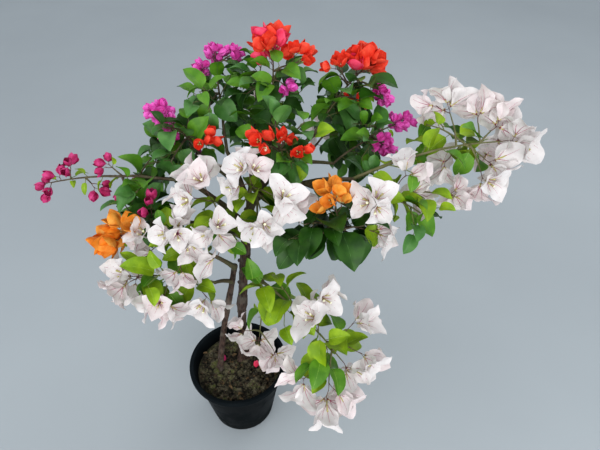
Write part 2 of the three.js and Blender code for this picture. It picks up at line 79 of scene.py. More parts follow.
class Field:
    """What varies over a surface: a shader socket that takes part in sums."""

    def __init__(self, tree, socket=None):
        self.tree = tree
        self.socket = socket

    def node(self, kind, settings, inputs, output=0):
        """Any other node: its kind, its settings, what goes into it, and the output to take."""
        made = self.tree.nodes.new(kind)
        for name, value in settings.items():
            setattr(made, name, value)
        for name, value in inputs.items():
            if isinstance(value, Field):
                self.tree.links.new(value.socket, made.inputs[name])
            else:
                made.inputs[name].default_value = value
        return Field(self.tree, made.outputs[output])

    def sum(self, operation, first, second):
        return self.node("ShaderNodeMath", {"operation": operation}, {0: first, 1: second})

    def __add__(self, other):
        return self.sum("ADD", self, other)

    def __sub__(self, other):
        return self.sum("SUBTRACT", self, other)

    def __rsub__(self, other):
        return self.sum("SUBTRACT", other, self)

    def __mul__(self, other):
        return self.sum("MULTIPLY", self, other)

    __radd__ = __add__
    __rmul__ = __mul__

    def place(self):
        """The place on the object, in metres from the origin."""
        return self.node("ShaderNodeTexCoord", {}, {}, 3)

    def height(self):
        """The height above the floor."""
        return self.node("ShaderNodeSeparateXYZ", {}, {0: self.place()}, 2)

    def grain(self, scale, detail=3, stretch=(1, 1, 1)):
        """Noise from 0 to 1 over the object, so many patches to the metre."""
        inputs = {0: self.place(), 1: stretch}
        spread = self.node("ShaderNodeVectorMath", {"operation": "MULTIPLY"}, inputs)
        return self.node("ShaderNodeTexNoise", {}, {"Vector": spread, "Scale": scale, "Detail": detail})

    def band(self, low, high):
        """0 below the low value and 1 above the high one."""
        ranges = {"interpolation_type": "SMOOTHSTEP"}
        return self.node("ShaderNodeMapRange", ranges, {"Value": self, "From Min": low, "From Max": high})

    def mix(self, low, high):
        """One colour where this is 0 and another where it is 1."""
        first = low if isinstance(low, Field) else (*low, 1)
        second = high if isinstance(high, Field) else (*high, 1)
        return self.node("ShaderNodeMix", {"data_type": "RGBA"}, {0: self, 6: first, 7: second}, 2)

    def relief(self, height):
        """This as bumps of a height in metres."""
        return self.node("ShaderNodeBump", {}, {"Height": self, "Distance": height, "Strength": 1})


def new_finish(name, constants=()):
    """A material, the start of its fields, and its shader with what is the same all over."""
    material = bpy.data.materials.new(name)
    material.use_nodes = True
    shader = material.node_tree.nodes["Principled BSDF"]
    for socket, value in dict(constants).items():
        shader.inputs[socket].default_value = value
    return material, Field(material.node_tree), shader


def lay(shader, **fields):
    """Lays fields on the shader's sockets, such as Base_Color=pattern."""
    for name, field in fields.items():
        field.tree.links.new(field.socket, shader.inputs[name.replace("_", " ")])


floor_width = 24
floor_greys = ((0.35, 0.38, 0.40), (0.40, 0.435, 0.455))
sky_tint = (0.90, 0.95, 1, 1)
sky_strength = 0.72
crown_middle = Vector((0.1, 0, 0.7))

floor_finish, surface, shader = new_finish("floor", {"Roughness": 0.85})
lay(shader, Base_Color=surface.grain(1.5).mix(*floor_greys))
bpy.ops.mesh.primitive_plane_add(size=floor_width)
floor = bpy.context.object
floor.name = "floor"
floor.data.materials.append(floor_finish)

sky = bpy.data.worlds.new("sky")
sky.use_nodes = True
sky_light = sky.node_tree.nodes["Background"].inputs
sky_light["Color"].default_value = sky_tint
sky_light["Strength"].default_value = sky_strength
scene.world = sky


def add_lamp(name, place, size, power):
    """A square soft lamp that faces the crown."""
    lamp_data = bpy.data.lights.new(name, "AREA")
    lamp_data.size = size
    lamp_data.energy = power
    lamp = add_object(name, lamp_data)
    lamp.location = place
    lamp.rotation_euler = (crown_middle - lamp.location).to_track_quat("-Z", "Y").to_euler()


add_lamp("key_lamp", (-1.4, -1.4, 2.2), 2.2, 18)
add_lamp("rim_lamp", (1.6, 1.8, 2.6), 1.8, 16)
add_lamp("fill_lamp", (0.7, -2.3, 1.4), 2.0, 34)


# The pot. A black nursery pot of moulded plastic: a tapering wall, a collar stepped out below a
# rolled lip, and a ring of drain holes in its floor. Dust and old water marks dull it. Its black is
# paler in faded patches, and painted paler from the collar up to the rim as painted light from above.

def arc(centre, radius, start, end, steps):
    """Points round part of a circle, for the rounded edges of a turned profile."""
    angles = np.radians(np.linspace(start, end, steps))
    return [(centre[0] + radius * cos(a), centre[1] + radius * sin(a)) for a in angles]


def turned(profile, sides):
    """A profile of (radius, height) turned round the upright axis, closed where it meets it."""
    turns = [2 * pi * k / sides for k in range(sides)]
    inner = profile[1:-1]
    points = [(0, 0, profile[0][1])]
    points += [(r * cos(a), r * sin(a), height) for r, height in inner for a in turns]
    points += [(0, 0, profile[-1][1])]
    faces = []
    for k in range(sides):
        after = (k + 1) % sides
        faces.append((0, 1 + after, 1 + k))
        for row in range(len(inner) - 1):
            low = 1 + row * sides
            faces.append((low + k, low + after, low + sides + after, low + sides + k))
        top = 1 + (len(inner) - 1) * sides
        faces.append((top + k, top + after, len(points) - 1))
    return points, faces


def add_mesh(name, points, faces):
    """A bare mesh in place."""
    mesh = bpy.data.meshes.new(name)
    mesh.from_pydata(points, [], faces)
    return add_object(name, mesh)


def add_piece(name, points, faces, finish, slot, nodes=(), smooth=True):
    """A mesh in place, with its finish and the solids that it stands for. The slot is not used."""
    piece = add_mesh(name, points, faces)
    piece.data.polygons.foreach_set("use_smooth", [smooth] * len(piece.data.polygons))
    piece.data.materials.append(finish)
    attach(piece, "root")
    if nodes:
        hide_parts(*nodes)
    return piece


pot_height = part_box("pot")[1].z
rim_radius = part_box("pot")[1].x
foot_radius = 0.086
foot_round = 0.003
rim_depth = 0.014
rim_width = 0.009
lip_round = 0.0035
wall = 0.0026
pot_floor = 0.004
floor_round = 0.002
collar_depth = 0.026
collar_step = 0.0025
chamfer, edge_round, fillet = 0.0006, 0.0008, 0.001
pot_sides = 160
drain_holes = 6
drain_circle = 0.062
drain_radius = 0.006
drill_reach = 0.01
drill_outline = ((-1, 0), (-1, drain_radius), (1, drain_radius), (1, 0))
drill_sides = 20
soil_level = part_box("soil")[1].z
plastic_blacks = ((0.003, 0.0045, 0.005), (0.010, 0.0135, 0.016))
dust_grey = (0.10, 0.12, 0.13)
splash_grey = (0.12, 0.115, 0.10)
splash_heights = (0.01, 0.07)


def pot_radius(height):
    """The outside of the pot's tapering wall."""
    return foot_radius + (rim_radius - rim_width - foot_radius) * height / pot_height


collar_top = pot_height - rim_depth
collar_foot = collar_top - collar_depth
lip_top = pot_height - lip_round
lip_foot = collar_top + lip_round / 2
pot_profile = [
    (0, 0),
    *arc((pot_radius(0) - foot_round, foot_round), foot_round, -90, -5, 5),
    (pot_radius(collar_foot), collar_foot - chamfer),
    (pot_radius(collar_foot) + edge_round, collar_foot),
    (pot_radius(collar_foot) + collar_step - chamfer, collar_foot + collar_step),
    (pot_radius(collar_foot) + collar_step, collar_foot + collar_step + fillet),
    (pot_radius(collar_top) + collar_step, collar_top - edge_round),
    (pot_radius(collar_top) + collar_step + edge_round, collar_top),
    *arc((rim_radius - lip_round / 2, lip_foot), lip_round / 2, -90, 0, 5),
    *arc((rim_radius - lip_round, lip_top), lip_round, 0, 90, 8),
    *arc((pot_radius(pot_height) - wall + lip_round, lip_top), lip_round, 90, 180, 8),
    (pot_radius(soil_level) - wall, soil_level),
    (pot_radius(pot_floor) - wall, pot_floor + floor_round),
    (pot_radius(pot_floor) - wall - floor_round, pot_floor),
    (0, pot_floor),
]
pot_finish, surface, shader = new_finish("pot_plastic", {"Specular IOR Level": 0.02})
height = surface.height()
dust = surface.grain(16, 5).band(0.42, 0.7)
splash = (1 - height.band(*splash_heights)) * surface.grain(60, 4).band(0.4, 0.6)
# Faded patches, and painted light: the black is painted paler from the collar up to the rim.
fade_and_painted_top_light = 0.3 * surface.grain(7, 3).band(0.35, 0.75) + 0.7 * height.band(collar_foot, pot_height)
painted_top_lit_black = fade_and_painted_top_light.mix(*plastic_blacks)
dusty = (dust * 0.05).mix(painted_top_lit_black, dust_grey)
lay(
    shader,
    Base_Color=(splash * 0.1).mix(dusty, splash_grey),
    Roughness=0.36 + 0.25 * dust + 0.2 * splash,
    Normal=(surface.grain(420, 2) + surface.grain(30, 2)).relief(0.0004),
)
pot_piece = add_piece("pot_shell", *turned(pot_profile, pot_sides), pot_finish, "pot_plastic", ["pot"])
drill_points, drill_faces = [], []
drill_profile = [(radius, side * drill_reach) for side, radius in drill_outline]
for k in range(drain_holes):
    angle = 2 * pi * k / drain_holes
    points, faces = turned(drill_profile, drill_sides)
    drill_faces += [[corner + len(drill_points) for corner in face] for face in faces]
    drill_points += [(x + drain_circle * cos(angle), y + drain_circle * sin(angle), z) for x, y, z in points]
drill = add_mesh("drill", drill_points, drill_faces)
drilling = pot_piece.modifiers.new("drain_holes", "BOOLEAN")
drilling.operation = "DIFFERENCE"
drilling.object = drill
bpy.context.view_layer.objects.active = pot_piece
bpy.ops.object.modifier_apply(modifier=drilling.name)
bpy.data.objects.remove(drill)


# The potting mix. Damp dark soil, crumbly and mounded a little round the stems, with patches of
# green moss. It was poured in loose round the stems. Its raised clods are painted paler as painted
# light, and the hollows between them are painted near black as painted shade.

def numbers_from(seed):
    """Random numbers that come out the same on every run."""
    state = seed

    def draw(low=0.0, high=1.0):
        nonlocal state
        state = state * 48271 % 2147483647
        return low + (high - low) * state / 2147483647

    return draw


stem_feet = {"trunk": (0.008, 0.036), "second_stem": (-0.052, 0)}
soil_gap = 0.0006
soil_radius = pot_radius(soil_level) - wall - soil_gap
soil_depth = 0.03
soil_rings, soil_sides = 90, 300
hollows = ((0.05, 0.003), (0.007, 0.0018), (0.003, 0.0009))
clods = ((0.022, 0.011), (0.01, 0.005))
mound_reach, mound_rise = 0.035, 0.006
edge_reach = 0.012
clod_share = 0.75
soil_lift = 0.001
shaded_and_lit_browns = ((0.002, 0.0015, 0.001), (0.150, 0.130, 0.082))
moss_green = (0.090, 0.105, 0.022)
painted_light_heights = (-0.002, 0.0065)


def soil_height(x, y):
    """Hollows and round clods, each of a width and a depth, and a mound round each stem."""
    rough = 0
    for size, depth in hollows:
        rough += depth * noise.noise(Vector((x / size, y / size, depth * 9000)))
    for size, depth in clods:
        from_middle = noise.voronoi(Vector((x / size, y / size, depth * 900)))[0][0]
        rough += depth * (0.5 - min(1, from_middle / clod_share) ** 2)
    from_stems = [hypot(x - fx, y - fy) for fx, fy in stem_feet.values()]
    mound = sum(mound_rise * max(0, 1 - distance / mound_reach) ** 2 for distance in from_stems)
    edge = min(1, (soil_radius - hypot(x, y)) / edge_reach)
    return soil_level + soil_lift + (rough + mound) * edge


soil_points = [(0, 0, soil_height(0, 0))]
for ring in range(1, soil_rings + 1):
    for k in range(soil_sides):
        x = soil_radius * ring / soil_rings * cos(2 * pi * k / soil_sides)
        y = soil_radius * ring / soil_rings * sin(2 * pi * k / soil_sides)
        soil_points.append((x, y, soil_height(x, y)))
soil_foot = soil_level - soil_depth
taper = (pot_radius(soil_foot) - wall - soil_gap) / soil_radius
soil_points += [(x * taper, y * taper, soil_foot) for x, y, z in soil_points[-soil_sides:]]
soil_faces = [(0, 1 + k, 1 + (k + 1) % soil_sides) for k in range(soil_sides)]
for ring in range(soil_rings):
    for k in range(soil_sides):
        low = 1 + ring * soil_sides
        after = (k + 1) % soil_sides
        soil_faces.append((low + k, low + soil_sides + k, low + soil_sides + after, low + after))
soil_faces.append([1 + soil_rings * soil_sides + k for k in range(soil_sides)][::-1])
soil_finish, surface, shader = new_finish("potting_mix", {"Roughness": 0.95})
height = surface.height()
# Painted light and shade: clod tops painted paler, hollows painted near black, with some grain.
raised = height.band(*(soil_level + change for change in painted_light_heights))
painted_clod_light = 0.3 * surface.grain(110, 6).band(0.35, 0.65) + 0.7 * raised
earth = painted_clod_light.mix(*shaded_and_lit_browns)
moss = surface.grain(22, 4).band(0.44, 0.58) * surface.grain(300, 3).band(0.35, 0.6)
lay(
    shader,
    Base_Color=(moss * raised).mix(earth, moss_green),
    Normal=(surface.grain(500, 4) + surface.grain(160, 3)).relief(0.0016),
)
add_piece("soil_surface", soil_points, soil_faces, soil_finish, "potting_soil", ["soil"])


# What lies on the mix. Chips of composted bark, pale grit and curled scraps of dry leaf, pressed
# a little into the surface wherever they fell.

class Heap:
    """Many small meshes gathered into one piece."""

    def __init__(self):
        self.points = []
        self.faces = []
        self.count = 0

    def add(self, points, faces):
        self.points.append(points)
        self.faces.append(faces + self.count)
        self.count += len(points)

    def piece(self, name, finish, slot, nodes=(), smooth=True):
        points = np.concatenate(self.points).tolist()
        return add_piece(name, points, np.concatenate(self.faces).tolist(), finish, slot, nodes, smooth)


def unit(vector):
    """The heading of a vector, one metre long."""
    return vector / np.sqrt(vector @ vector)


def cross(a, b):
    """The heading square to two others."""
    return np.array([a[1] * b[2] - a[2] * b[1], a[2] * b[0] - a[0] * b[2], a[0] * b[1] - a[1] * b[0]])


def blade_grid(rows, columns):
    """Shares along and across a blade, which has one point at its root and one at its tip, and
    its triangles."""
    sides = np.linspace(-1, 1, columns + 1)
    shares = [(0, 0), *((row / rows, side) for row in range(1, rows) for side in sides), (1, 0)]
    faces = []
    for k in range(1, columns + 1):
        faces.append((0, k + 1, k))
        for row in range(rows - 2):
            corner = row * (columns + 1) + k
            above = corner + columns + 1
            faces += [(corner, corner + 1, above + 1), (corner, above + 1, above)]
        last = (rows - 2) * (columns + 1) + k
        faces.append((last, last + 1, len(shares) - 1))
    return np.array(shares), np.array(faces)


bend_changes = (-6, 6)


def blade_points(shares, spot, length, width, shape, draw):
    """A leaf or bract that starts at spot's base. Its midrib bends away from its face, its halves
    are folded and cupped up from the midrib, and its edge ripples."""
    base, along, face = spot
    along_share, side = shares[:, 0], shares[:, 1]
    root, point = shape["outline"]
    widest = root / (root + point)
    peak = widest**root * (1 - widest) ** point
    half = width / 2 * along_share**root * (1 - along_share) ** point / peak
    start, end = (radians(angle + draw(*bend_changes)) for angle in shape["bend"])
    bend = start + (end - start) * along_share
    forward = length * (np.sin(bend) - sin(start)) / (end - start)
    away = length * (cos(start) - np.cos(bend)) / (end - start)
    fold = radians(shape["fold"])
    wave = np.sin(2 * pi * (shape["waves"] * along_share + draw()) + side)
    lift = half * (np.abs(side) * sin(fold) + side**2 * (shape["cup"] + shape["ripple"] * wave))
    forward = forward + np.sin(bend) * lift
    away = away - np.cos(bend) * lift
    across = half * side * cos(fold)
    return base + np.outer(forward, along) - np.outer(away, face) + np.outer(across, cross(along, face))


foot_clearance = 0.024
wall_clearance = 0.008


def spot_on_soil(draw):
    """A place on the mix, clear of the stems' feet and of the pot's wall."""
    while True:
        angle = draw(0, 2 * pi)
        reach = (soil_radius - wall_clearance) * draw() ** 0.5
        x, y = reach * cos(angle), reach * sin(angle)
        if all(hypot(x - fx, y - fy) > foot_clearance for fx, fy in stem_feet.values()):
            return np.array([x, y, soil_height(x, y)])


chip_corners = np.array([(x, y, z) for x in (-1, 1) for y in (-1, 1) for z in (-1, 1)], float)
chip_faces = np.array([
    (0, 1, 3), (0, 3, 2), (4, 6, 7), (4, 7, 5), (0, 4, 5), (0, 5, 1),
    (2, 3, 7), (2, 7, 6), (0, 2, 6), (0, 6, 4), (1, 5, 7), (1, 7, 3),
])
chip_unevenness, chip_tilt = (0.55, 1), (-0.5, 0.5)


def add_chip(heap, size, draw):
    """A block with uneven corners, turned any way and lying nearly flat."""
    corners = chip_corners * [[draw(*chip_unevenness) * half for half in size] for _ in chip_corners]
    turn = Matrix.Rotation(draw(0, 2 * pi), 3, "Z") @ Matrix.Rotation(draw(*chip_tilt), 3, "X")
    heap.add(corners @ np.array(turn).T + spot_on_soil(draw), chip_faces)


counts = dict(chips=330, crumbs=420, grit=120, scraps=26)
lengths = dict(chips=(0.0018, 0.0062), crumbs=(0.001, 0.005), grit=(0.0006, 0.0015), scraps=(0.006, 0.018))
chip_width, chip_thickness = (0.3, 0.7), (0.0006, 0.0016)
crumb_sides = ((0.6, 0.95), (0.4, 0.7))
grit_sides = (0.8, 0.7)
scrap_width = 0.6
scrap_lift = np.array([0, 0, 0.001])
draw = numbers_from(4201)
chips, crumbs, grit, litter = Heap(), Heap(), Heap(), Heap()
for _ in range(counts["chips"]):
    length = draw(*lengths["chips"])
    add_chip(chips, (length, length * draw(*chip_width), draw(*chip_thickness)), draw)
for _ in range(counts["crumbs"]):
    size = draw(*lengths["crumbs"])
    add_chip(crumbs, (size, *(size * draw(*side) for side in crumb_sides)), draw)
for _ in range(counts["grit"]):
    size = draw(*lengths["grit"])
    add_chip(grit, (size, *(size * side for side in grit_sides)), draw)
litter_shape = dict(outline=(0.6, 0.8), bend=(-30, 40), fold=25, cup=0.5, ripple=0.3, waves=1)
scrap_shares, scrap_faces = blade_grid(5, 4)
for _ in range(counts["scraps"]):
    heading = unit(np.array([draw(-1, 1), draw(-1, 1), draw(-0.1, 0.3)]))
    face = unit(cross(cross(heading, np.array([draw(-0.4, 0.4), 0, 1])), heading))
    spot = (spot_on_soil(draw) + scrap_lift, heading, face)
    length = draw(*lengths["scraps"])
    scrap = blade_points(scrap_shares, spot, length, length * scrap_width, litter_shape, draw)
    litter.add(scrap, scrap_faces)


def patchy_finish(name, low, high, patches, roughness, crinkle, constants=()):
    """What has grown or crumbled: two tints in soft patches, and a fine uneven surface."""
    material, surface, shader = new_finish(name, constants)
    lay(
        shader,
        Base_Color=surface.grain(patches, 3).band(0.32, 0.68).mix(low, high),
        Roughness=roughness + 0.14 * (surface.grain(patches * 3, 2) - 0.5),
        Normal=surface.grain(patches * 9, 2).relief(crinkle),
    )
    return material


chip_finish = patchy_finish("bark_chip", (0.016, 0.011, 0.007), (0.10, 0.068, 0.038), 170, 0.9, 0.0008)
grit_finish = patchy_finish("grit", (0.12, 0.11, 0.08), (0.30, 0.28, 0.22), 220, 0.9, 0.0004)
litter_finish = patchy_finish("dry_leaf", (0.07, 0.042, 0.018), (0.19, 0.125, 0.06), 120, 0.8, 0.0005)
crumb_finish = patchy_finish("soil_crumb", (0.022, 0.019, 0.010), (0.125, 0.110, 0.062), 190, 0.95, 0.0012)
chips.piece("bark_chips", chip_finish, "potting_soil", smooth=False)
crumbs.piece("soil_crumbs", crumb_finish, "potting_soil")
grit.piece("grit", grit_finish, "potting_soil", smooth=False)
litter.piece("leaf_litter", litter_finish, "potting_soil")


# The two stems. Old wood with furrowed brown bark, ringed by the scars of old leaves and flared at
# its foot. The taller one has healed grafts, which swell it, and short stubs of pruned shoots. A
# knot is a place and a radius, and a stub has its share of the stem, its angle and its length.

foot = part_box("trunk")[0].z
UP = np.array([0.0, 0.0, 1.0])
RIGHT = np.array([1.0, 0.0, 0.0])
GOLDEN_ANGLE = radians(137.5)

stems = {
    "trunk": {
        "seed": 51, "sides": 30, "furrow": 0.0011,
        "knots": [
            (0.008, 0.036, foot, 0.019), (0.009, 0.036, 0.19, 0.0145), (0.012, 0.035, 0.23, 0.0115),
            (0.017, 0.034, 0.33, 0.0105), (0.02, 0.033, 0.385, 0.0108), (0.023, 0.032, 0.415, 0.0138),
            (0.027, 0.032, 0.445, 0.011), (0.034, 0.033, 0.52, 0.0102), (0.042, 0.034, 0.575, 0.0122),
            (0.047, 0.035, 0.625, 0.0104), (0.052, 0.037, 0.665, 0.0116), (0.058, 0.041, 0.7, 0.0085),
        ],
        "stubs": [(0.84, -0.6, 0.026), (0.56, 2.4, 0.013), (0.72, 3.4, 0.011)],
    },
    "second_stem": {
        "seed": 52, "sides": 22, "furrow": 0.0005,
        "knots": [
            (-0.052, 0, foot, 0.0115), (-0.05, 0, 0.19, 0.0086), (-0.039, -0.002, 0.27, 0.0076),
            (-0.018, -0.006, 0.39, 0.0072), (-0.004, -0.009, 0.455, 0.008),
            (0.008, -0.01, 0.51, 0.0068), (0.024, -0.012, 0.59, 0.0062),
        ],
        "stubs": [],
    },
}
bend_ease, taper_ease = 6, 2
stub_radii = [0.0062, 0.0052, 0.0046, 0.0044, 0.0046, 0.0035]
stub_last = len(stub_radii) - 1
stub_sides = 12
stub_furrow = 0.0004
stub_root = 0.006
stub_rise = 0.75
stem_ring_spacing = 0.0026
flare_lobes, flare_depth, flare_height = 3, 0.16, 0.012
most_scars = 40
scar_spacing, scar_width, scar_height = (0.022, 0.05), 0.0022, 0.07
furrow_width, furrow_length = 0.0028, 0.022
crumb_width, crumb_length = 0.0011, 0.0018
lump_length, lump_height = 0.02, 0.09
bark_browns = ((0.022, 0.012, 0.009), (0.115, 0.068, 0.048))
weathered_grey = (0.17, 0.15, 0.125)


class Run:
    """The line that a limb follows, as straight lengths, with places given by share of its length."""

    def __init__(self, points):
        self.points = np.array(points, float)
        steps = np.diff(self.points, axis=0)
        self.lengths = np.sqrt((steps**2).sum(axis=1))
        self.headings = steps / self.lengths[:, None]
        self.starts = np.concatenate([[0], np.cumsum(self.lengths)])
        self.length = self.starts[-1]

    def step_at(self, share):
        found = np.searchsorted(self.starts, share * self.length, side="right") - 1
        return min(max(found, 0), len(self.lengths) - 1)

    def at(self, share):
        step = self.step_at(share)
        return self.points[step] + self.headings[step] * (share * self.length - self.starts[step])

    def heading(self, share):
        return self.headings[self.step_at(share)]

    def spread(self, spacing):
        """Shares of the length that lie about so far apart, and the points there."""
        shares = np.linspace(0, 1, max(2, round(self.length / spacing)) + 1)
        return shares, np.array([self.at(share) for share in shares])


@cache
def tube_faces(rings, sides):
    """The triangles of a tube, which are the same for all that have as many rings and sides."""
    faces = []
    for k in range(sides):
        after = (k + 1) % sides
        for ring in range(rings - 1):
            low, high = ring * sides, (ring + 1) * sides
            faces += [(low + k, low + after, high + after), (low + k, high + after, high + k)]
    top = (rings - 1) * sides
    for k in range(1, sides - 1):
        faces += [(0, k + 1, k), (top, top + k, top + k + 1)]
    return np.array(faces)


def tube(points, radii, sides):
    """A closed tube through points. Each ring has one radius, or one for each of its sides."""
    headings = np.gradient(points, axis=0)
    across = RIGHT if abs(unit(headings[0])[0]) < 0.9 else UP
    angles = 2 * pi * np.arange(sides) / sides
    rings = []
    for point, heading, radius in zip(points, headings, radii):
        heading = unit(heading)
        across = unit(across - heading * (across @ heading))
        other = cross(across, heading)
        spokes = np.outer(np.cos(angles), across) - np.outer(np.sin(angles), other)
        rings.append(point + spokes * np.reshape(radius, (-1, 1)))
    return np.concatenate(rings), tube_faces(len(points), sides)


def eased(values, spread):
    """A row of values with its corners rounded over so many steps, and its two ends kept."""
    kernel = np.hanning(2 * spread + 3)[1:-1]
    before = 2 * values[0] - values[spread:0:-1]
    after = 2 * values[-1] - values[-2:-2 - spread:-1]
    padded = np.concatenate([before, values, after])
    return np.array([np.convolve(column, kernel / kernel.sum(), "valid") for column in padded.T]).T


def bark_radii(points, radii, sides, furrow, draw):
    """The radius all round each ring: long furrows, lumps, and the raised rings of leaf scars."""
    scars = np.cumsum([draw(*scar_spacing) for _ in range(most_scars)])
    rows = []
    for radius, way in zip(radii, Run(points).starts):
        scar = scar_height * max(np.exp(-(((scars - way) / scar_width) ** 2)))
        row = []
        for k in range(sides):
            x, y = cos(2 * pi * k / sides), sin(2 * pi * k / sides)
            right, back = x * radius, y * radius
            furrows = noise.noise(Vector((right / furrow_width, back / furrow_width, way / furrow_length)))
            lumps = noise.noise(Vector((x, y, way / lump_length + 7)))
            crumbs = noise.noise(Vector((right / crumb_width, back / crumb_width, way / crumb_length)))
            row.append(radius * (1 + scar + lump_height * lumps) + furrow * (furrows - abs(crumbs) * 0.5))
        rows.append(row)
    return np.array(rows)


bark_finish, surface, shader = new_finish("bark", {"Roughness": 0.88})
fibres = surface.grain(260, 4, (1, 1, 0.22)).band(0.3, 0.72)
weathered = surface.grain(34, 4).band(0.45, 0.68)
brown = fibres.mix(*bark_browns)
lay(
    shader,
    Base_Color=(weathered * 0.55).mix(brown, weathered_grey),
    Normal=(surface.grain(420, 3, (1, 1, 0.25)) + fibres).relief(0.0009),
)

limbs = {}
for name, stem in stems.items():
    draw = numbers_from(stem["seed"])
    sides = stem["sides"]
    knots = np.array(stem["knots"])
    limb = limbs[name] = Run(knots[:, :3])
    shares, points = limb.spread(stem_ring_spacing)
    points = eased(points, bend_ease)
    radii = np.interp(shares, limb.starts / limb.length, knots[:, 3])
    radii = eased(radii[:, None], taper_ease)[:, 0]
    skin = bark_radii(points, radii, sides, stem["furrow"], draw)
    lobes = flare_depth * np.cos(flare_lobes * 2 * pi * np.arange(sides) / sides + draw(0, 6))
    flare = np.exp(-(points[:, 2] - foot) / flare_height)
    skin *= 1 + np.outer(flare, lobes)
    points[0, 2] = foot
    wood = Heap()
    wood.add(*tube(points, skin, sides))
    for share, angle, length in stem["stubs"]:
        heading = unit(np.array([cos(angle), sin(angle), stub_rise]))
        root = limb.at(share)
        reaches = [stub_root + length * k / stub_last for k in range(stub_last + 1)]
        stub = np.array([root + heading * reach for reach in reaches])
        stub_skin = bark_radii(stub, stub_radii, stub_sides, stub_furrow, draw)
        wood.add(*tube(stub, stub_skin, stub_sides))
    wood.piece(name + "_bark", bark_finish, "bark", [name])


# The boughs. Each leaves its limb from a thickened collar and runs in a slight arch to the mass
# of foliage that it carries. Their bark is thinner and greener than that of the stems. A bough has
# the limb it is on, its share of that limb, its tip, its arch, and its radii at root and tip.

boughs = {
    "bough_left": ("trunk", 0.93, (-0.062, 0.057, 0.765), 0.08, (0.007, 0.0046)),
    "bough_left_low": ("trunk", 0.86, (-0.05, 0.012, 0.694), 0.06, (0.006, 0.004)),
    "bough_front_left": ("second_stem", 0.985, (-0.008, -0.048, 0.652), 0.06, (0.0056, 0.0038)),
    "bough_front_low": ("second_stem", 0.87, (-0.014, -0.062, 0.588), 0.1, (0.005, 0.0034)),
    "bough_front": ("trunk", 0.9, (0.026, -0.04, 0.706), 0.08, (0.0056, 0.0038)),
    "bough_centre": ("trunk", 0.985, (0.084, -0.012, 0.772), 0.08, (0.006, 0.004)),
    "bough_front_right": ("trunk", 0.95, (0.152, -0.028, 0.738), 0.12, (0.0064, 0.0042)),
    "bough_hanging": ("trunk", 0.76, (0.089, -0.049, 0.573), 0.14, (0.005, 0.0036)),
    "bough_low": ("bough_hanging", 0.72, (0.084, -0.046, 0.505), -0.06, (0.003, 0.0024)),
    "leader": ("trunk", 0.999, (0.112, 0.048, 0.806), 0.05, (0.008, 0.0048)),
    "bough_right": ("leader", 0.3, (0.27, -0.008, 0.817), 0.14, (0.0066, 0.0042)),
    "bough_right_low": ("bough_right", 0.55, (0.262, -0.042, 0.776), 0.06, (0.0044, 0.0034)),
    "bough_top": ("leader", 0.55, (0.11, 0.122, 0.846), 0.06, (0.0056, 0.0038)),
    "bough_back_right": ("leader", 0.45, (0.196, 0.128, 0.834), 0.08, (0.006, 0.004)),
    "bough_crown_right": ("bough_back_right", 0.5, (0.236, 0.062, 0.806), 0.06, (0.005, 0.003)),
    "bough_low_right": ("bough_back_right", 0.32, (0.196, 0.178, 0.768), 0.1, (0.005, 0.003)),
    "bough_back_left": ("leader", 0.12, (0.014, 0.104, 0.812), 0.06, (0.006, 0.004)),
    "bough_crown_left": ("bough_back_left", 0.5, (-0.034, 0.084, 0.806), 0.06, (0.005, 0.003)),
    "bough_back": ("trunk", 0.95, (0.06, 0.15, 0.742), 0.1, (0.006, 0.004)),
    "bough_low_left": ("bough_back", 0.4, (-0.036, 0.156, 0.744), 0.1, (0.0046, 0.0034)),
}
bough_sides = 14
bough_furrow = 0.00035
bough_ring_spacing = 0.004
bough_sway = 0.002
collar_swell, collar_length = 0.45, 0.009
young_barks = ((0.075, 0.055, 0.026), (0.085, 0.092, 0.035))
fibre_brown = (0.15, 0.115, 0.075)
sways_per_metre = 22


def arch_to(root, tip, rise, spacing, sway=0.0):
    """An arch from root to tip, raised by a share of its length, that sways a little on its way."""
    root, tip = np.array(root, float), np.array(tip, float)
    length = np.sqrt(((tip - root) ** 2).sum())
    middle = (root + tip) / 2 + UP * rise * length
    points = []
    for t in np.linspace(0, 1, max(2, round(length / spacing)) + 1):
        point = root * (1 - t) ** 2 + middle * 2 * t * (1 - t) + tip * t**2
        wander = [noise.noise(Vector(point * sways_per_metre + 41 * side)) for side in range(3)]
        points.append(point + sway * sin(pi * t) * np.array(wander))
    return Run(points)


bough_finish, surface, shader = new_finish("bough_bark", {"Roughness": 0.8})
fibres = surface.grain(300, 4).band(0.3, 0.7)
green = surface.grain(26, 3).band(0.35, 0.65)
young = green.mix(*young_barks)
lay(
    shader,
    Base_Color=(fibres * 0.6).mix(young, fibre_brown),
    Normal=surface.grain(500, 3).relief(0.0005),
)
bough_heap = Heap()
tip_radii = {}
draw = numbers_from(61)
for name, (carrier, carrier_share, tip, rise, ends) in boughs.items():
    limb = arch_to(limbs[carrier].at(carrier_share), tip, rise, bough_ring_spacing, bough_sway)
    limbs[name] = limb
    shares, points = limb.spread(bough_ring_spacing)
    radii = np.interp(shares, [0, 1], ends)
    radii *= 1 + collar_swell * np.exp(-shares * limb.length / collar_length)
    bough_heap.add(*tube(points, bark_radii(points, radii, bough_sides, bough_furrow, draw), bough_sides))
    tip_radii[name] = ends[1]
bough_heap.piece("bough_limbs", bough_finish, "bark", list(boughs))


# The canes and twigs. Each mass of foliage grows on from its bough's tip: its first shoot is its
# stem, the others branch from that, and all bear side twigs on a spiral. The bark is thin, brown
# where the leaves are dark and green where they are light, with short thorns.

def shoot(x, y, z, head=0, leafy=1, **own):
    """A shoot that ends at a place, with its flowers and the share of it that bears leaves."""
    return {"to": (x, y, z), "head": head, "leafy": leafy, **own}


def foliage(on, leaves, kind, seed, shoots, **own):
    """A mass with its bough, its leaves, its kind of flower, its seed and its shoots."""
    usual = {"leaf_size": 1, "flower_size": 1, "droop": 1, "shaded_deep": 0.18}
    return {**usual, "on": on, "leaves": leaves, "kind": kind, "seed": seed, "shoots": shoots, **own}
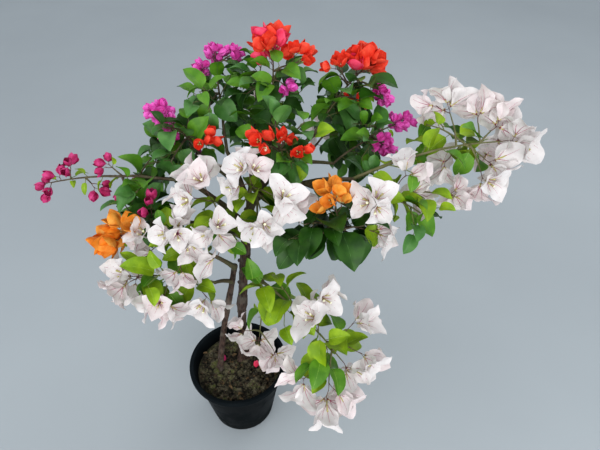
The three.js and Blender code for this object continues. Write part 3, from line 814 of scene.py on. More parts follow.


# Hanging leaves are nearly all painted in the deep green, as painted shade under the crown.
hanging_leaves = {"leaf_size": 1.25, "droop": 2, "shaded_deep": 0.95}
masses = {
    "left_cane": foliage("bough_left", "dark", "magenta", 11, shoots=[
        shoot(-0.362, 0.05, 0.768, 5, 0.42), shoot(-0.19, 0.036, 0.752, 3, 0.6),
        shoot(-0.254, 0.046, 0.758, 3, 0), shoot(-0.3, 0.06, 0.8, 3, 0),
        shoot(-0.226, 0.062, 0.812, 2, 0), shoot(-0.14, 0.096, 0.8),
    ]),
    "left_foliage": foliage("bough_left_low", "dark", "orange", 12, leaf_size=1.15, shoots=[
        shoot(-0.232, -0.026, 0.682, 6, 0.6), shoot(-0.19, 0.012, 0.742),
        shoot(-0.128, -0.008, 0.758, 3, kind="magenta"), shoot(-0.15, 0.044, 0.704),
    ]),
    "front_left_blossom": foliage("bough_front_left", "light", "white", 13, shoots=[
        shoot(-0.148, -0.046, 0.712, 5), shoot(-0.066, -0.056, 0.73, 5), shoot(-0.06, -0.11, 0.676, 2),
        shoot(-0.092, -0.072, 0.752),
    ]),
    "front_left_spray": foliage("bough_front_low", "light", "white", 14, leaf_size=1.12, shoots=[
        shoot(-0.196, -0.096, 0.65, 5), shoot(-0.108, -0.138, 0.6, 6), shoot(-0.028, -0.1, 0.604, 3),
        shoot(-0.176, -0.066, 0.606, 4), shoot(-0.094, -0.124, 0.69), shoot(-0.146, -0.112, 0.676),
    ]),
    "front_blossom": foliage("bough_front", "light", "white", 15, shoots=[
        shoot(-0.026, 0, 0.818, 4), shoot(-0.018, -0.03, 0.786, 4), shoot(0.01, -0.074, 0.756, 4),
        shoot(0.012, -0.096, 0.69, 1), shoot(0.06, -0.07, 0.77), shoot(0.03, -0.08, 0.716),
        shoot(0.05, -0.062, 0.732),
    ]),
    "centre_blossom": foliage("bough_centre", "light", "white", 16, shoots=[
        shoot(0.074, -0.03, 0.842, 5), shoot(0.146, -0.076, 0.816, 5), shoot(0.104, -0.094, 0.772, 4),
        shoot(0.066, -0.046, 0.8), shoot(0.086, -0.066, 0.738), shoot(0.11, -0.05, 0.79),
    ]),
    "front_right_foliage": foliage("bough_front_right", "dark", "orange", 17, **hanging_leaves, shoots=[
        shoot(0.263, -0.096, 0.756), shoot(0.222, -0.084, 0.782), shoot(0.2, -0.1, 0.748),
        shoot(0.226, -0.06, 0.834, 5), shoot(0.306, -0.074, 0.752, 4, kind="white"),
        shoot(0.222, -0.096, 0.75), shoot(0.174, -0.09, 0.774), shoot(0.286, -0.088, 0.77),
    ]),
    "right_blossom": foliage("bough_right_low", "light", "white", 18, shoots=[
        shoot(0.398, -0.008, 0.79, 4), shoot(0.302, -0.062, 0.806, 4), shoot(0.362, -0.01, 0.826, 3),
        shoot(0.478, 0.008, 0.776, 4), shoot(0.41, -0.046, 0.756, leaves="dark"),
    ]),
    "right_cane": foliage("bough_right", "light", "white", 19, flower_size=1.08, shoots=[
        shoot(0.606, 0.084, 0.856, 5, 0.75), shoot(0.467, 0.16, 0.904, 5, 0.4),
        shoot(0.52, 0.126, 0.896, 2, 0.3), shoot(0.562, 0.104, 0.876, 4, 0.3),
        shoot(0.556, 0.046, 0.812, 5, 0.5), shoot(0.54, 0.016, 0.78, 4, 0.5),
        shoot(0.456, 0.056, 0.812, 3, 0.5), shoot(0.42, 0.104, 0.872),
    ]),
    "hanging_cane": foliage("bough_hanging", "light", "white", 20, leaf_size=1.2, flower_size=1.14, shoots=[
        shoot(0.288, -0.176, 0.42, 4), shoot(0.205, -0.086, 0.58, 3), shoot(0.206, -0.126, 0.534, 2),
        shoot(0.276, -0.116, 0.526, 3), shoot(0.304, -0.152, 0.472, 3), shoot(0.172, -0.2, 0.416, 3),
        shoot(0.224, -0.232, 0.398, 6), shoot(0.112, -0.08, 0.634), shoot(0.07, -0.088, 0.616),
    ]),
    "low_blossom": foliage("bough_low", "light", "white", 21, shoots=[
        shoot(0.062, -0.016, 0.308, 4, 0.45), shoot(0.022, -0.01, 0.356, 4, 0),
        shoot(0.118, -0.05, 0.292, 4, 0),
    ]),
    "crown_centre": foliage("leader", "dark", "red", 22, shoots=[
        shoot(0.14, 0.018, 0.898, 5), shoot(0.098, 0.01, 0.886, 3), shoot(0.182, -0.018, 0.884, 3),
        shoot(0.06, 0.05, 0.868), shoot(0.176, 0.064, 0.9), shoot(0.118, 0.096, 0.906),
    ]),
    "crown_top": foliage("bough_top", "dark", "red", 23, shoots=[
        shoot(0.112, 0.236, 0.998, 11), shoot(0.184, 0.198, 0.968, 4),
        shoot(0.14, 0.152, 0.936, 2, kind="purple"), shoot(0.058, 0.16, 0.91), shoot(0.06, 0.226, 0.93),
        shoot(0.168, 0.246, 0.916),
    ]),
    "crown_right_top": foliage("bough_back_right", "dark", "red", 24, shoots=[
        shoot(0.314, 0.208, 0.97, 11), shoot(0.24, 0.188, 0.966, 4), shoot(0.244, 0.112, 0.912),
        shoot(0.35, 0.17, 0.896, 5, 0.5, kind="purple"), shoot(0.3, 0.136, 0.902),
        shoot(0.25, 0.246, 0.91),
    ]),
    "crown_right": foliage("bough_crown_right", "dark", "purple", 25, shoots=[
        shoot(0.396, 0.166, 0.852, 7, 0.7), shoot(0.346, 0.076, 0.83, 5), shoot(0.31, 0.036, 0.852),
        shoot(0.304, 0.096, 0.874),
    ]),
    "crown_left_top": foliage("bough_back_left", "dark", "purple", 26, shoots=[
        shoot(-0.022, 0.292, 0.954, 5), shoot(0.032, 0.292, 0.95, 5), shoot(-0.054, 0.254, 0.926, 4),
        shoot(-0.016, 0.124, 0.896), shoot(0.03, 0.19, 0.91), shoot(-0.072, 0.2, 0.88),
    ]),
    "crown_left": foliage("bough_crown_left", "dark", "purple", 27, shoots=[
        shoot(-0.134, 0.15, 0.89, 7, 0.8), shoot(-0.1, 0.116, 0.85, 3), shoot(-0.09, 0.05, 0.818),
        shoot(-0.018, 0.07, 0.85, 3, kind="red"), shoot(-0.056, 0.112, 0.876),
    ]),
    "back_centre": foliage("bough_back", "dark", "white", 28, shoots=[
        shoot(0.066, 0.33, 0.838, 5), shoot(0.126, 0.292, 0.768),
        shoot(0.002, 0.286, 0.79, 3, kind="purple"), shoot(0.072, 0.258, 0.872),
    ]),
    "back_right": foliage("bough_low_right", "dark", "red", 29, shoots=[
        shoot(0.3, 0.268, 0.828, 6), shoot(0.232, 0.306, 0.752, 5, kind="white"),
        shoot(0.352, 0.188, 0.774, 4, kind="purple"), shoot(0.268, 0.226, 0.706),
    ]),
    "back_left": foliage("bough_low_left", "dark", "purple", 30, shoots=[
        shoot(-0.15, 0.232, 0.806, 5), shoot(-0.082, 0.284, 0.756, 4, kind="white"),
        shoot(-0.164, 0.162, 0.738), shoot(-0.062, 0.226, 0.694, 3),
    ]),
}
cane = dict(
    rise=0.12, lowest_root=0.07, root_share=0.7, stagger=0.09, highest_root=0.85,
    sunk=0.98, thickness=0.85, radius=0.0022, tip_radius=0.0011,
    ring_spacing=0.01, sway=0.003, sides=8, most_below=0.4, places=24,
    below_head=dict(white=0.042, red=0.034, orange=0.036, magenta=0.018, purple=0.018),
)
twig_rise = 0.1
twig_ring_spacing = 0.012
side_twig = dict(
    pitch=dict(dark=0.046, light=0.08), share=(0.2, 0.94), below_head=0.8,
    length=(0.036, 0.074), forward=0.7, lift=(-0.1, 0.4), swing=2, sway=0.002,
    radii=(0.0013, 0.0007), sides=6, clear_at=(0.6, 1), taken_at=(0.4, 0.7, 1),
)
finer = dict(
    longer_than=0.05, at=(0.45, 0.75), length=(0.02, 0.036), forward=0.8, sway=0,
    radii=(0.0009, 0.0006), sides=5, clear_at=(1,), taken_at=(0.6, 1),
)
joint_spacing, joint_swell, joint_sharpness = 0.024, 0.16, 6
thin_twig = 0.0012
thick_ring_spacing, thin_ring_spacing = 0.007, 0.012
thorn = dict(
    first=0.12, last=0.7, spacing=0.05, left_out=0.4, length=(0.004, 0.009),
    lean=0.3, sunk=0.6, curve=0.3, sides=5,
)
thorn_radii = np.array([0.0011, 0.0007, 0.0001])
ball_spacing = 0.012
ball_radii = dict(trunk=0.012, bough=0.008, cane=0.004, twig=0.003)
twig_gap = 0.004
most_balls = 40000


class Room:
    """The space that limbs, leaves and flowers have taken, kept as balls."""

    def __init__(self):
        self.centres = np.zeros((most_balls, 3))
        self.radii = np.zeros(most_balls)
        self.count = 0

    def take(self, centres, radius):
        for centre in centres:
            self.centres[self.count] = centre
            self.radii[self.count] = radius
            self.count += 1

    def is_clear(self, centres, radius):
        reach = (self.radii[: self.count] + radius) ** 2
        for centre in centres:
            if (((self.centres[: self.count] - centre) ** 2).sum(axis=1) < reach).any():
                return False
        return True


room = Room()
for name, limb in limbs.items():
    room.take(limb.spread(ball_spacing)[1], ball_radii["trunk" if name == "trunk" else "bough"])
canes = {"dark": Heap(), "light": Heap()}
twigs = {"dark": Heap(), "light": Heap()}


def out_from(along, angle):
    """A heading square to another, at an angle round it."""
    level = RIGHT if abs(along[2]) > 0.9 else UP
    across = unit(cross(along, level))
    return across * cos(angle) + cross(along, across) * sin(angle)


def add_cane(heap, run, radii, sides, draw):
    """A cane or twig that tapers, thickened a little at each joint where a leaf or thorn sits."""
    shares, points = run.spread(thick_ring_spacing if radii[0] > thin_twig else thin_ring_spacing)
    turns = 2 * pi * shares * run.length / joint_spacing
    joints = 1 + joint_swell * np.maximum(0, np.cos(turns + draw(0, 6))) ** joint_sharpness
    heap.add(*tube(points, np.interp(shares, [0, 1], radii) * joints, sides))


def add_thorns(heap, run, radius, draw):
    """Short curved thorns, one beside a leaf here and there along a cane."""
    for share in np.arange(thorn["first"], thorn["last"], thorn["spacing"] / run.length):
        if draw() < thorn["left_out"]:
            continue
        heading = run.heading(share)
        out = unit(out_from(heading, draw(0, 2 * pi)) + thorn["lean"] * heading)
        root = run.at(share) + out * radius * thorn["sunk"]
        length = draw(*thorn["length"])
        curve = UP * length * thorn["curve"]
        points = np.array([root + out * length * t - curve * t**2 for t in (0, 0.5, 1)])
        heap.add(*tube(points, thorn_radii, thorn["sides"]))


def add_twig(grown, rule, root, tip, leaves):
    """Grows a side twig or a finer one where its end has room, and gives back what grew."""
    twig = arch_to(root, tip, twig_rise, twig_ring_spacing, rule["sway"])
    if not room.is_clear([twig.at(share) for share in rule["clear_at"]], twig_gap):
        return None
    add_cane(twigs[leaves], twig, rule["radii"], rule["sides"], grown["draw"])
    room.take([twig.at(share) for share in rule["taken_at"]], ball_radii["twig"])
    side_twigs.append({**grown, "run": twig})
    return twig


def add_side_twigs(grown, leaves):
    """Side twigs on a spiral round a shoot, and finer twigs on the long ones of the leafy masses."""
    run, draw, leafy = grown["run"], grown["draw"], grown["leafy"]
    count = int(run.length * leafy / side_twig["pitch"][leaves])
    for k in range(count):
        share = leafy * np.interp((k + 0.5) / count, [0, 1], side_twig["share"])
        share *= side_twig["below_head"] if grown["head"] else 1
        heading, root = run.heading(share), run.at(share)
        out = out_from(heading, k * GOLDEN_ANGLE + draw(0, side_twig["swing"]))
        out = unit(out + side_twig["forward"] * heading + UP * draw(*side_twig["lift"]))
        length = draw(*side_twig["length"])
        twig = add_twig(grown, side_twig, root, root + out * length, leaves)
        if twig is None or length < finer["longer_than"] or leaves == "light":
            continue
        for share in finer["at"]:
            heading, root = twig.heading(share), twig.at(share)
            out = unit(out_from(heading, draw(0, 2 * pi)) + finer["forward"] * heading)
            add_twig(grown, finer, root, root + out * draw(*finer["length"]), leaves)


shoots, side_twigs = [], []
for mass in masses.values():
    bough = limbs[mass["on"]]
    heap = canes[mass["leaves"]]
    stem_radius = max(cane["radius"], cane["thickness"] * tip_radii[mass["on"]])
    stem = None
    for i, given in enumerate(mass["shoots"]):
        grown = {**mass, **given}
        draw = numbers_from(1000 * mass["seed"] + 37 * i + 5)
        if stem is None:
            root = bough.at(cane["sunk"])
        else:
            places = np.linspace(0, 1, cane["places"] + 1)
            gaps = [((stem.at(share) - grown["to"]) ** 2).sum() for share in places]
            nearest = places[gaps.index(min(gaps))]
            share = cane["lowest_root"] + cane["root_share"] * nearest + cane["stagger"] * (i % 4)
            root = stem.at(min(share, cane["highest_root"]))
        way = grown["to"] - root
        below = 0
        if grown["head"]:
            below = min(cane["below_head"][grown["kind"]], cane["most_below"] * hypot(*way))
        end = grown["to"] - unit(way) * below
        run = arch_to(root, end, cane["rise"], cane["ring_spacing"], cane["sway"])
        radii = (stem_radius if stem is None else cane["radius"], cane["tip_radius"])
        stem = stem or run
        add_cane(heap, run, radii, cane["sides"], draw)
        add_thorns(heap, run, radii[0], draw)
        room.take(run.spread(ball_spacing)[1], ball_radii["cane"])
        shoots.append({**grown, "run": run, "draw": draw})
        add_side_twigs(shoots[-1], mass["leaves"])

dark_masses = [name for name, mass in masses.items() if mass["leaves"] == "dark"]
light_masses = [name for name, mass in masses.items() if mass["leaves"] == "light"]
brown_cane = patchy_finish("brown_cane", (0.070, 0.045, 0.026), (0.13, 0.115, 0.06), 60, 0.65, 0.0003)
green_cane = patchy_finish("green_cane", (0.115, 0.12, 0.036), (0.17, 0.155, 0.075), 60, 0.6, 0.0003)
green_twig = patchy_finish("green_twig", (0.12, 0.17, 0.035), (0.20, 0.22, 0.07), 60, 0.55, 0.0002)
dark_twig = patchy_finish("dark_twig", (0.085, 0.095, 0.03), (0.14, 0.13, 0.05), 60, 0.6, 0.0002)
canes["dark"].piece("brown_canes", brown_cane, "bark", dark_masses)
canes["light"].piece("green_canes", green_cane, "bark", light_masses)
twigs["dark"].piece("dark_twigs", dark_twig, "dark_foliage", dark_masses)
twigs["light"].piece("green_twigs", green_twig, "light_foliage", light_masses)


# The white flowers. Three papery bracts open round each group, white with a blush and pink veins,
# and on each stands a slender true flower. The groups hang by threes on thin purplish stalks. A
# faint glow stands for the daylight that passes through the thin bracts.

bract_shares, bract_faces = blade_grid(11, 8)
midrib = [(share, 0) for share in (0, 0.12, 0.26, 0.42, 0.6, 0.8)]
side_vein = [(0.06, 0), (0.16, 0.18), (0.3, 0.36), (0.44, 0.5), (0.58, 0.6)]
vein_shares = [midrib, side_vein, [(share, -side) for share, side in side_vein]]
shares_with_veins = np.concatenate([bract_shares, *vein_shares])
midrib_radius, side_vein_radius, vein_tip = 0.0014, 0.0009, 0.00015
stalk_radius, branchlet_radius = 0.0009, 0.0006
stalk_outline = np.array([1.15, 0.9, 0.85, 0.9, 1.3])
stalk_bow = 0.08
stalk_sides, vein_sides, tube_sides = 5, 4, 6
tube_radii = np.array([0.0016, 0.0013, 0.0015, 0.0019])
tube_bend = ([0, 0.35, 0.7, 1], [0, 0.01, 0.04, 0.08])
star_radius, star_points, star_waist, star_cup = 0.0034, 5, 0.55, 0.25
bract_foot, tube_foot = 0.0012, 0.002
bract_turns, bract_sizes, bract_openings = (-0.15, 0.15), (0.9, 1.1), (0.85, 1.15)
tube_lengths = (0.8, 1.1)
small_head = 6
first_spread = 0.2
group_middle, group_sizes = 0.45, (0.86, 1.12)
tries = 5
stalks, veins, tubes, stars = Heap(), Heap(), Heap(), Heap()
bract_marks = []
bract_finishes = {}
star_corners = np.arange(2 * star_points)
star_angles = 2 * pi * star_corners / len(star_corners)
star_faces = np.array([(0, 1 + k, 1 + (k + 1) % len(star_corners)) for k in star_corners])


def add_stalk(root, end, radius, draw):
    """A thread of a stalk, bowed a little."""
    shares = np.linspace(0, 1, len(stalk_outline))
    bow = out_from(unit(end - root), draw(0, 2 * pi)) * stalk_bow * hypot(*(end - root))
    line = root + np.outer(shares, end - root) + np.outer(np.sin(pi * shares), bow)
    stalks.add(*tube(line, radius * stalk_outline, stalk_sides))


def add_star(base, heading, radius):
    """The cream mouth of a true flower: a shallow disc with five points."""
    across = out_from(heading, 0)
    other = cross(heading, across)
    reach = np.where(star_corners % 2 == 0, radius, radius * star_waist)[:, None]
    rim = np.outer(np.cos(star_angles), across) + np.outer(np.sin(star_angles), other)
    points = np.concatenate([[base], base + rim * reach + heading * radius * star_cup])
    stars.add(points, star_faces)


def add_flower(heap, kind, base, axis, size, draw):
    """One group: three bracts round an axis, with their veins and their true flowers."""
    opening = draw(*kind["opening"])
    turn = draw(0, 2 * pi)
    for k in range(3):
        out = out_from(axis, turn + k * 2 * pi / 3 + draw(*bract_turns))
        length, width = (kind[side] * size * draw(*bract_sizes) for side in ("length", "width"))
        shape = dict(kind["shape"])
        spread = opening * draw(*bract_openings)
        shape["bend"] = tuple(angle * spread for angle in kind["shape"]["bend"])
        spot = (base + out * bract_foot, axis, -out)
        points = blade_points(shares_with_veins, spot, length, width, shape, draw)
        heap.add(points[: len(bract_shares)], bract_faces)
        if kind["veined"]:
            first = len(bract_shares)
            for path in vein_shares:
                line = points[first : first + len(path)]
                first += len(path)
                thickest = midrib_radius if path is midrib else side_vein_radius
                veins.add(*tube(line, np.geomspace(thickest, vein_tip, len(path)), vein_sides))
                bract_marks.extend(line[2:])
        if kind["tube"]:
            heading = unit(axis + out * kind["tube_lean"])
            reach = kind["tube"] * size * draw(*tube_lengths)
            line = base + out * tube_foot + np.outer(tube_bend[0], heading * reach)
            line = line + np.outer(tube_bend[1], axis * reach)
            tubes.add(*tube(line, tube_radii, tube_sides))
            if draw() < kind["open"]:
                add_star(line[-1], heading, star_radius)


def add_heads(kind_name, kind, heaps):
    """The heads of one kind at the tips of their shoots. The first stalk goes on from the shoot
    and the others stand round it, and each forks into a few groups of bracts."""
    for grown in shoots:
        if grown["kind"] != kind_name or not grown["head"]:
            continue
        run, draw = grown["run"], grown["draw"]
        small = grown["head"] < small_head
        size = (kind["few"] if small else 1) * grown["flower_size"]
        left = round(grown["head"] * kind["more"])
        for i in range(ceil(left / kind["together"])):
            share = 1 - kind["step"] * (i // 2) / run.length
            heading, root = run.heading(share), run.at(share)
            spread = first_spread if i == 0 else draw(*kind["spread"])
            out = out_from(heading, i * GOLDEN_ANGLE + draw())
            main = unit(heading * cos(spread) + out * sin(spread) + UP * kind["lift"])
            fork = root + main * draw(*kind["stalk"])
            add_stalk(root, fork, stalk_radius, draw)
            for k in range(min(left, kind["together"])):
                for attempt in range(tries):
                    lean = draw(*kind["fan"])
                    side = out_from(main, (k + attempt / 3) * 2 * pi / kind["together"] + i)
                    axis = unit(main * cos(lean) + side * sin(lean) + UP * kind["lift"])
                    base = fork + axis * draw(*kind["branchlet"])
                    centre = base + axis * kind["length"] * size * group_middle
                    if room.is_clear([centre], kind["room"]):
                        break
                else:
                    continue
                left -= 1
                room.take([centre], kind["room"])
                add_stalk(fork, base, branchlet_radius, draw)
                pick = heaps[0 if small and kind["few"] < 1 else int(draw() * len(heaps))]
                add_flower(pick, kind, base, axis, size * draw(*group_sizes), draw)


def grow_flowers(kind_name, kind, mix, slot, tints, look, nodes=()):
    """Grows the heads of one kind, in colours dealt from a mix, and one piece for each colour."""
    heaps = {colour: Heap() for colour in tints}
    add_heads(kind_name, kind, [heaps[colour] for colour in mix])
    for colour, (low, high) in tints.items():
        bract_finishes[colour] = patchy_finish(colour + "_bract", low, high, *look)
        heaps[colour].piece(colour + "_bracts", bract_finishes[colour], slot, nodes)


white = dict(
    length=0.054, width=0.042, more=0.76, few=1, together=3, step=0.016,
    spread=(0.5, 1.2), lift=0.12, stalk=(0.014, 0.032), fan=(0.5, 1.15),
    branchlet=(0.007, 0.014), room=0.0145, opening=(0.65, 1.2), veined=True,
    tube=0.021, tube_lean=0.3, open=0.55,
    shape=dict(outline=(0.55, 0.92), bend=(18, 86), fold=8, cup=0.14, ripple=0.24, waves=1.8),
)
white_tints = {
    "white": ((0.57, 0.54, 0.532), (0.63, 0.603, 0.596)),
    "blush": ((0.60, 0.523, 0.525), (0.655, 0.60, 0.596)),
}
white_mix = ["white", "white", "white", "blush"]
paper = {"Specular IOR Level": 0.25}
# The emission is a painted glow that stands for daylight passing through the thin bracts.
paper_with_painted_glow = {**paper, "Emission Color": (0.75, 0.70, 0.69, 1), "Emission Strength": 0.13}
white_look = (60, 0.65, 0.0002, paper_with_painted_glow)
grow_flowers("white", white, white_mix, "white_bracts", white_tints, white_look, light_masses)


# The magenta flowers. Small groups that stay half closed like lanterns are strung along the long
# left cane, and paler ones that have opened stand in tight bunches at the tips of the crown.

magenta = dict(
    length=0.0265, width=0.0212, more=1.3, few=1, together=2, step=0.022,
    spread=(0.6, 1.6), lift=0, stalk=(0.008, 0.018), fan=(0.4, 1.0),
    branchlet=(0.004, 0.009), room=0.0085, opening=(0.8, 1.15), veined=False, tube=0,
    shape=dict(outline=(0.5, 0.6), bend=(58, -32), fold=8, cup=0.42, ripple=0.06, waves=1),
)
purple = dict(
    magenta, length=0.021, width=0.018, more=2.2, step=0.01, spread=(0.3, 1.2),
    stalk=(0.005, 0.012), branchlet=(0.003, 0.007), room=0.0056, opening=(0.7, 1.2),
    shape=dict(outline=(0.5, 0.6), bend=(50, -12), fold=8, cup=0.38, ripple=0.12, waves=1.3),
)
magenta_tints = {"magenta": ((0.38, 0.018, 0.10), (0.58, 0.065, 0.22))}
purple_tints = {"pink": ((0.64, 0.06, 0.36), (0.82, 0.17, 0.58))}
magenta_look = (90, 0.5, 0.0002, paper)
grow_flowers("magenta", magenta, ["magenta"], "magenta_bracts", magenta_tints, magenta_look)
grow_flowers("purple", purple, ["pink"], "magenta_bracts", purple_tints, magenta_look)


# The red flowers. Broad scarlet bracts cupped upward in dense domes at the top of the crown,
# some of them hot pink, with a few small heads below.

red = dict(
    magenta, length=0.039, width=0.033, more=1.5, few=0.72, step=0.008,
    spread=(0.3, 1.1), lift=0.3, stalk=(0.008, 0.02), fan=(0.35, 0.8),
    branchlet=(0.006, 0.012), room=0.0095, opening=(0.7, 1.1),
    tube=0.009, tube_lean=0.2, open=0.1,
    shape=dict(outline=(0.55, 0.62), bend=(54, -12), fold=6, cup=0.3, ripple=0.12, waves=1.3),
)
red_tints = {
    "scarlet": ((0.72, 0.042, 0.020), (0.85, 0.105, 0.055)),
    "hot_pink": ((0.72, 0.035, 0.10), (0.85, 0.10, 0.19)),
}
red_look = (70, 0.5, 0.0002, paper)
grow_flowers("red", red, ["scarlet", "scarlet", "hot_pink"], "red_bracts", red_tints, red_look)


# The orange flowers. One big amber head stands at the crown's left edge and a small one at its
# front, of broad loose bracts that open amber and turn orange.

orange = dict(
    red, length=0.046, width=0.036, more=1.7, step=0.017, spread=(0.4, 1.2),
    lift=0.1, stalk=(0.01, 0.022), fan=(0.35, 0.9), room=0.0105, opening=(0.75, 1.15),
    tube=0.014, tube_lean=0.25,
    shape=dict(outline=(0.5, 0.66), bend=(48, 4), fold=8, cup=0.3, ripple=0.13, waves=1.3),
)
orange_tints = {
    "amber": ((0.76, 0.27, 0.03), (0.87, 0.42, 0.09)),
    "orange": ((0.74, 0.19, 0.012), (0.84, 0.30, 0.035)),
}
grow_flowers("orange", orange, ["amber", "orange"], "orange_bracts", orange_tints, red_look)


# What the flowers share: thin purplish stalks, pink veins, and the true flowers' yellow-green
# tubes with their cream mouths.

stalk_finish = patchy_finish("flower_stalk", (0.11, 0.045, 0.055), (0.17, 0.10, 0.07), 80, 0.6, 0.0002)
vein_finish = patchy_finish("bract_vein", (0.32, 0.02, 0.09), (0.50, 0.10, 0.20), 80, 0.6, 0.0001)
tube_finish = patchy_finish("flower_tube", (0.42, 0.40, 0.12), (0.60, 0.52, 0.28), 80, 0.55, 0.0001)
star_finish = patchy_finish("flower_mouth", (0.80, 0.78, 0.52), (0.88, 0.86, 0.66), 80, 0.55, 0.0001)
stalks.piece("flower_stalks", stalk_finish, "bark")
veins.piece("bract_veins", vein_finish, "white_bracts")
tubes.piece("flower_tubes", tube_finish, "white_bracts")
stars.piece("flower_mouths", star_finish, "white_bracts")


# The leaves. Egg-shaped with a drawn-out tip, folded a little along the midrib, on short stalks
# set in turn round the twig. Old leaves are green and waxy, some painted deep green as painted shade
# and some bluer as a painted sheen, and young ones are yellow-green.

leaf = dict(
    length=dict(dark=0.060, light=0.060, young=0.032), stalk=0.011,
    width=dict(dark=0.045, light=0.042, young=0.016),
    pitch=dict(dark=0.0185, light=0.027, young=0.034),
    first=0.12, first_on_twig=0.3, last=0.98, below_head=0.78,
    forward=0.6, droop=(0.1, 0.6), upright=0.9, size=(1.06, 0.66), room=0.005,
    tilts=(-0.5, 0.5), sizes=(0.82, 1.12), widths=(0.9, 1.1), next_place=0.7,
    young_from=0.8, young_chance=0.14, lime_chance=0.72,
    bare_gap=0.08, last_young=0.95, bare_below=0.8,
)
leaf_shape = dict(outline=(0.62, 1.04), bend=(-12, 46), fold=17, cup=0.1, ripple=0.12, waves=1.3)
leaf_shares, leaf_faces = blade_grid(9, 6)
rib_shares = [(share, 0) for share in (0, 0.2, 0.4, 0.6, 0.8, 0.95)]
rib_radii = np.linspace(0.0006, 0.0002, len(rib_shares))
shares_with_rib = np.concatenate([leaf_shares, rib_shares])
mark_shares = ((0.3, 0), (0.45, -0.3), (0.45, 0.3), (0.7, 0), (0.92, 0))
bract_gap = 0.0025
mark_sag = 0.25
petiole_radii = np.array([0.0009, 0.0007, 0.0007, 0.0004])
petiole_bow, petiole_end = 0.0008, 0.004
rib_sides, petiole_sides = 4, 5
tints = {"shaded_deep": Heap(), "painted_sheen_blue": Heap(), "mid": Heap(), "lime": Heap()}
petioles = {"dark": Heap(), "light": Heap()}
leaf_ribs = {"dark": Heap(), "light": Heap()}


def leaf_spot(grown, share, angle):
    """Where a leaf stands: off its twig at an angle round it, leaning forward and drooping, with
    its face to the sky."""
    run, draw = grown["run"], grown["draw"]
    heading = run.heading(share)
    droop = UP * draw(*leaf["droop"]) * grown["droop"]
    along = unit(out_from(heading, angle) + leaf["forward"] * heading - droop)
    lean = np.array([draw(*leaf["tilts"]), draw(*leaf["tilts"]), leaf["upright"]])
    return run.at(share), along, unit(lean - along * (lean @ along))


def leaf_tint(leaves, young, shaded_deep, pick):
    """A share of the dark leaves is painted deep green as painted shade, and half of the rest bluer as a
    painted sheen. The young and most of the light ones are lime.
    """
    if leaves != "dark" or young:
        return "lime" if pick < leaf["lime_chance"] or young else "mid"
    return "shaded_deep" if pick < shaded_deep else "painted_sheen_blue" if pick < (1 + shaded_deep) / 2 else "mid"


def add_leaves(grown, first, last, leaves):
    """Leaves in turn along a twig. One that has no room tries the next places round the twig."""
    run, draw = grown["run"], grown["draw"]
    count = round(run.length * (last - first) / leaf["pitch"][leaves]) + 1
    for i in range(count):
        share = np.interp(i / max(1, count - 1), [0, 1], [first, last])
        size = np.interp(share, [0, 1], leaf["size"]) * draw(*leaf["sizes"]) * grown["leaf_size"]
        length = leaf["length"][leaves] * size
        width = leaf["width"][leaves] * size * draw(*leaf["widths"])
        for attempt in range(tries):
            angle = (i + leaf["next_place"] * attempt) * GOLDEN_ANGLE + draw()
            root, along, face = leaf_spot(grown, share, angle)
            base = root + along * leaf["stalk"] * size
            side = cross(along, face)
            marks = []
            for t, s in mark_shares:
                marks.append(base + along * length * t + side * width * s - face * length * mark_sag * t**2)
            if room.is_clear(marks, leaf["room"]):
                break
        else:
            continue
        room.take(marks, leaf["room"])
        points = blade_points(shares_with_rib, (base, along, face), length, width, leaf_shape, draw)
        young = leaves == "young" or share > leaf["young_from"] and draw() < leaf["young_chance"]
        shade = "dark" if leaves == "dark" else "light"
        tints[leaf_tint(leaves, young, grown["shaded_deep"], draw())].add(points[: len(leaf_shares)], leaf_faces)
        leaf_ribs[shade].add(*tube(points[len(leaf_shares) :], rib_radii, rib_sides))
        halfway = root + along * leaf["stalk"] * size * 0.5 + UP * petiole_bow
        line = np.array([root, halfway, base, base + along * petiole_end])
        petioles[shade].add(*tube(line, petiole_radii, petiole_sides))


room.take(bract_marks, bract_gap)
for grown in shoots:
    last = grown["leafy"] * (leaf["below_head"] if grown["head"] else leaf["last"])
    if last > leaf["first"]:
        add_leaves(grown, leaf["first"], last, grown["leaves"])
    if grown["leafy"] < leaf["bare_below"] and grown["leaves"] == "dark":
        add_leaves(grown, grown["leafy"] + leaf["bare_gap"], leaf["last_young"], "young")
for grown in side_twigs:
    add_leaves(grown, leaf["first_on_twig"], leaf["last"], grown["leaves"])

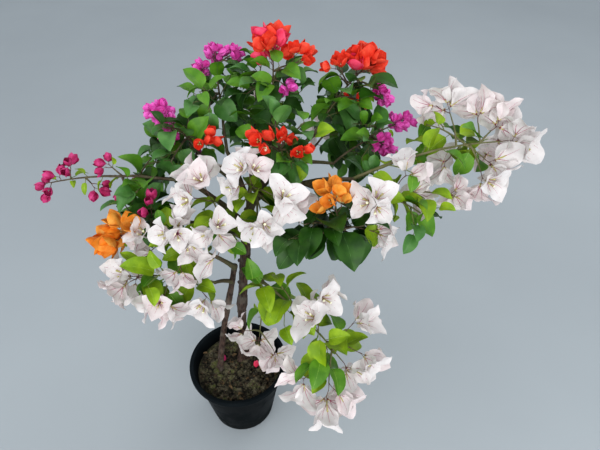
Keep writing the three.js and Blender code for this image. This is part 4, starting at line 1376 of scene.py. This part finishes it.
waxy = {"Specular IOR Level": 0.42}
# The deep green is painted shade, and the blue green a painted sheen of sky light on the wax.
leaf_greens = {
    "shaded_deep": ((0.013, 0.058, 0.003), (0.029, 0.098, 0.006), 0.5, "dark_foliage", dark_masses),
    "painted_sheen_blue": ((0.058, 0.170, 0.034), (0.105, 0.248, 0.062), 0.40, "dark_foliage", dark_masses),
    "mid": ((0.070, 0.198, 0.010), (0.125, 0.285, 0.020), 0.5, "dark_foliage", dark_masses),
    "lime": ((0.165, 0.285, 0.005), (0.28, 0.42, 0.012), 0.58, "light_foliage", light_masses),
}
for tint, (low, high, roughness, slot, nodes) in leaf_greens.items():
    finish = patchy_finish(tint + "_leaf", low, high, 40, roughness, 0.0003, waxy)
    tints[tint].piece(tint + "_leaves", finish, slot, nodes)
dark_rib = patchy_finish("dark_leaf_rib", (0.08, 0.19, 0.045), (0.11, 0.24, 0.06), 60, 0.5, 0.0001)
lime_rib = patchy_finish("lime_leaf_rib", (0.26, 0.42, 0.07), (0.34, 0.50, 0.11), 60, 0.5, 0.0001)
leaf_ribs["dark"].piece("dark_leaf_ribs", dark_rib, "dark_foliage")
leaf_ribs["light"].piece("lime_leaf_ribs", lime_rib, "light_foliage")
petioles["dark"].piece("dark_leaf_stalks", dark_twig, "dark_foliage")
petioles["light"].piece("light_leaf_stalks", green_twig, "light_foliage")


# Fallen flowers. Three groups of papery bracts that dropped from the crown lie on the mix where
# they fell, a little smaller than those on the plant: two magenta and one hot pink.

fallen = {"magenta": Heap(), "hot_pink": Heap()}
fallen_places = ((-0.0389, 0.0257, "magenta"), (0.0465, -0.0031, "hot_pink"), (0.0824, -0.0094, "magenta"))
fallen_size = 0.8
fallen_lift = 0.006
draw = numbers_from(91)
for x, y, colour in fallen_places:
    axis = unit(np.array([draw(-1, 1), draw(-1, 1), 0.25]))
    base = np.array([x, y, soil_height(x, y) + fallen_lift])
    add_flower(fallen[colour], magenta, base, axis, fallen_size, draw)
fallen["magenta"].piece("fallen_magenta_bracts", bract_finishes["magenta"], "magenta_bracts")
fallen["hot_pink"].piece("fallen_pink_bracts", bract_finishes["hot_pink"], "red_bracts")
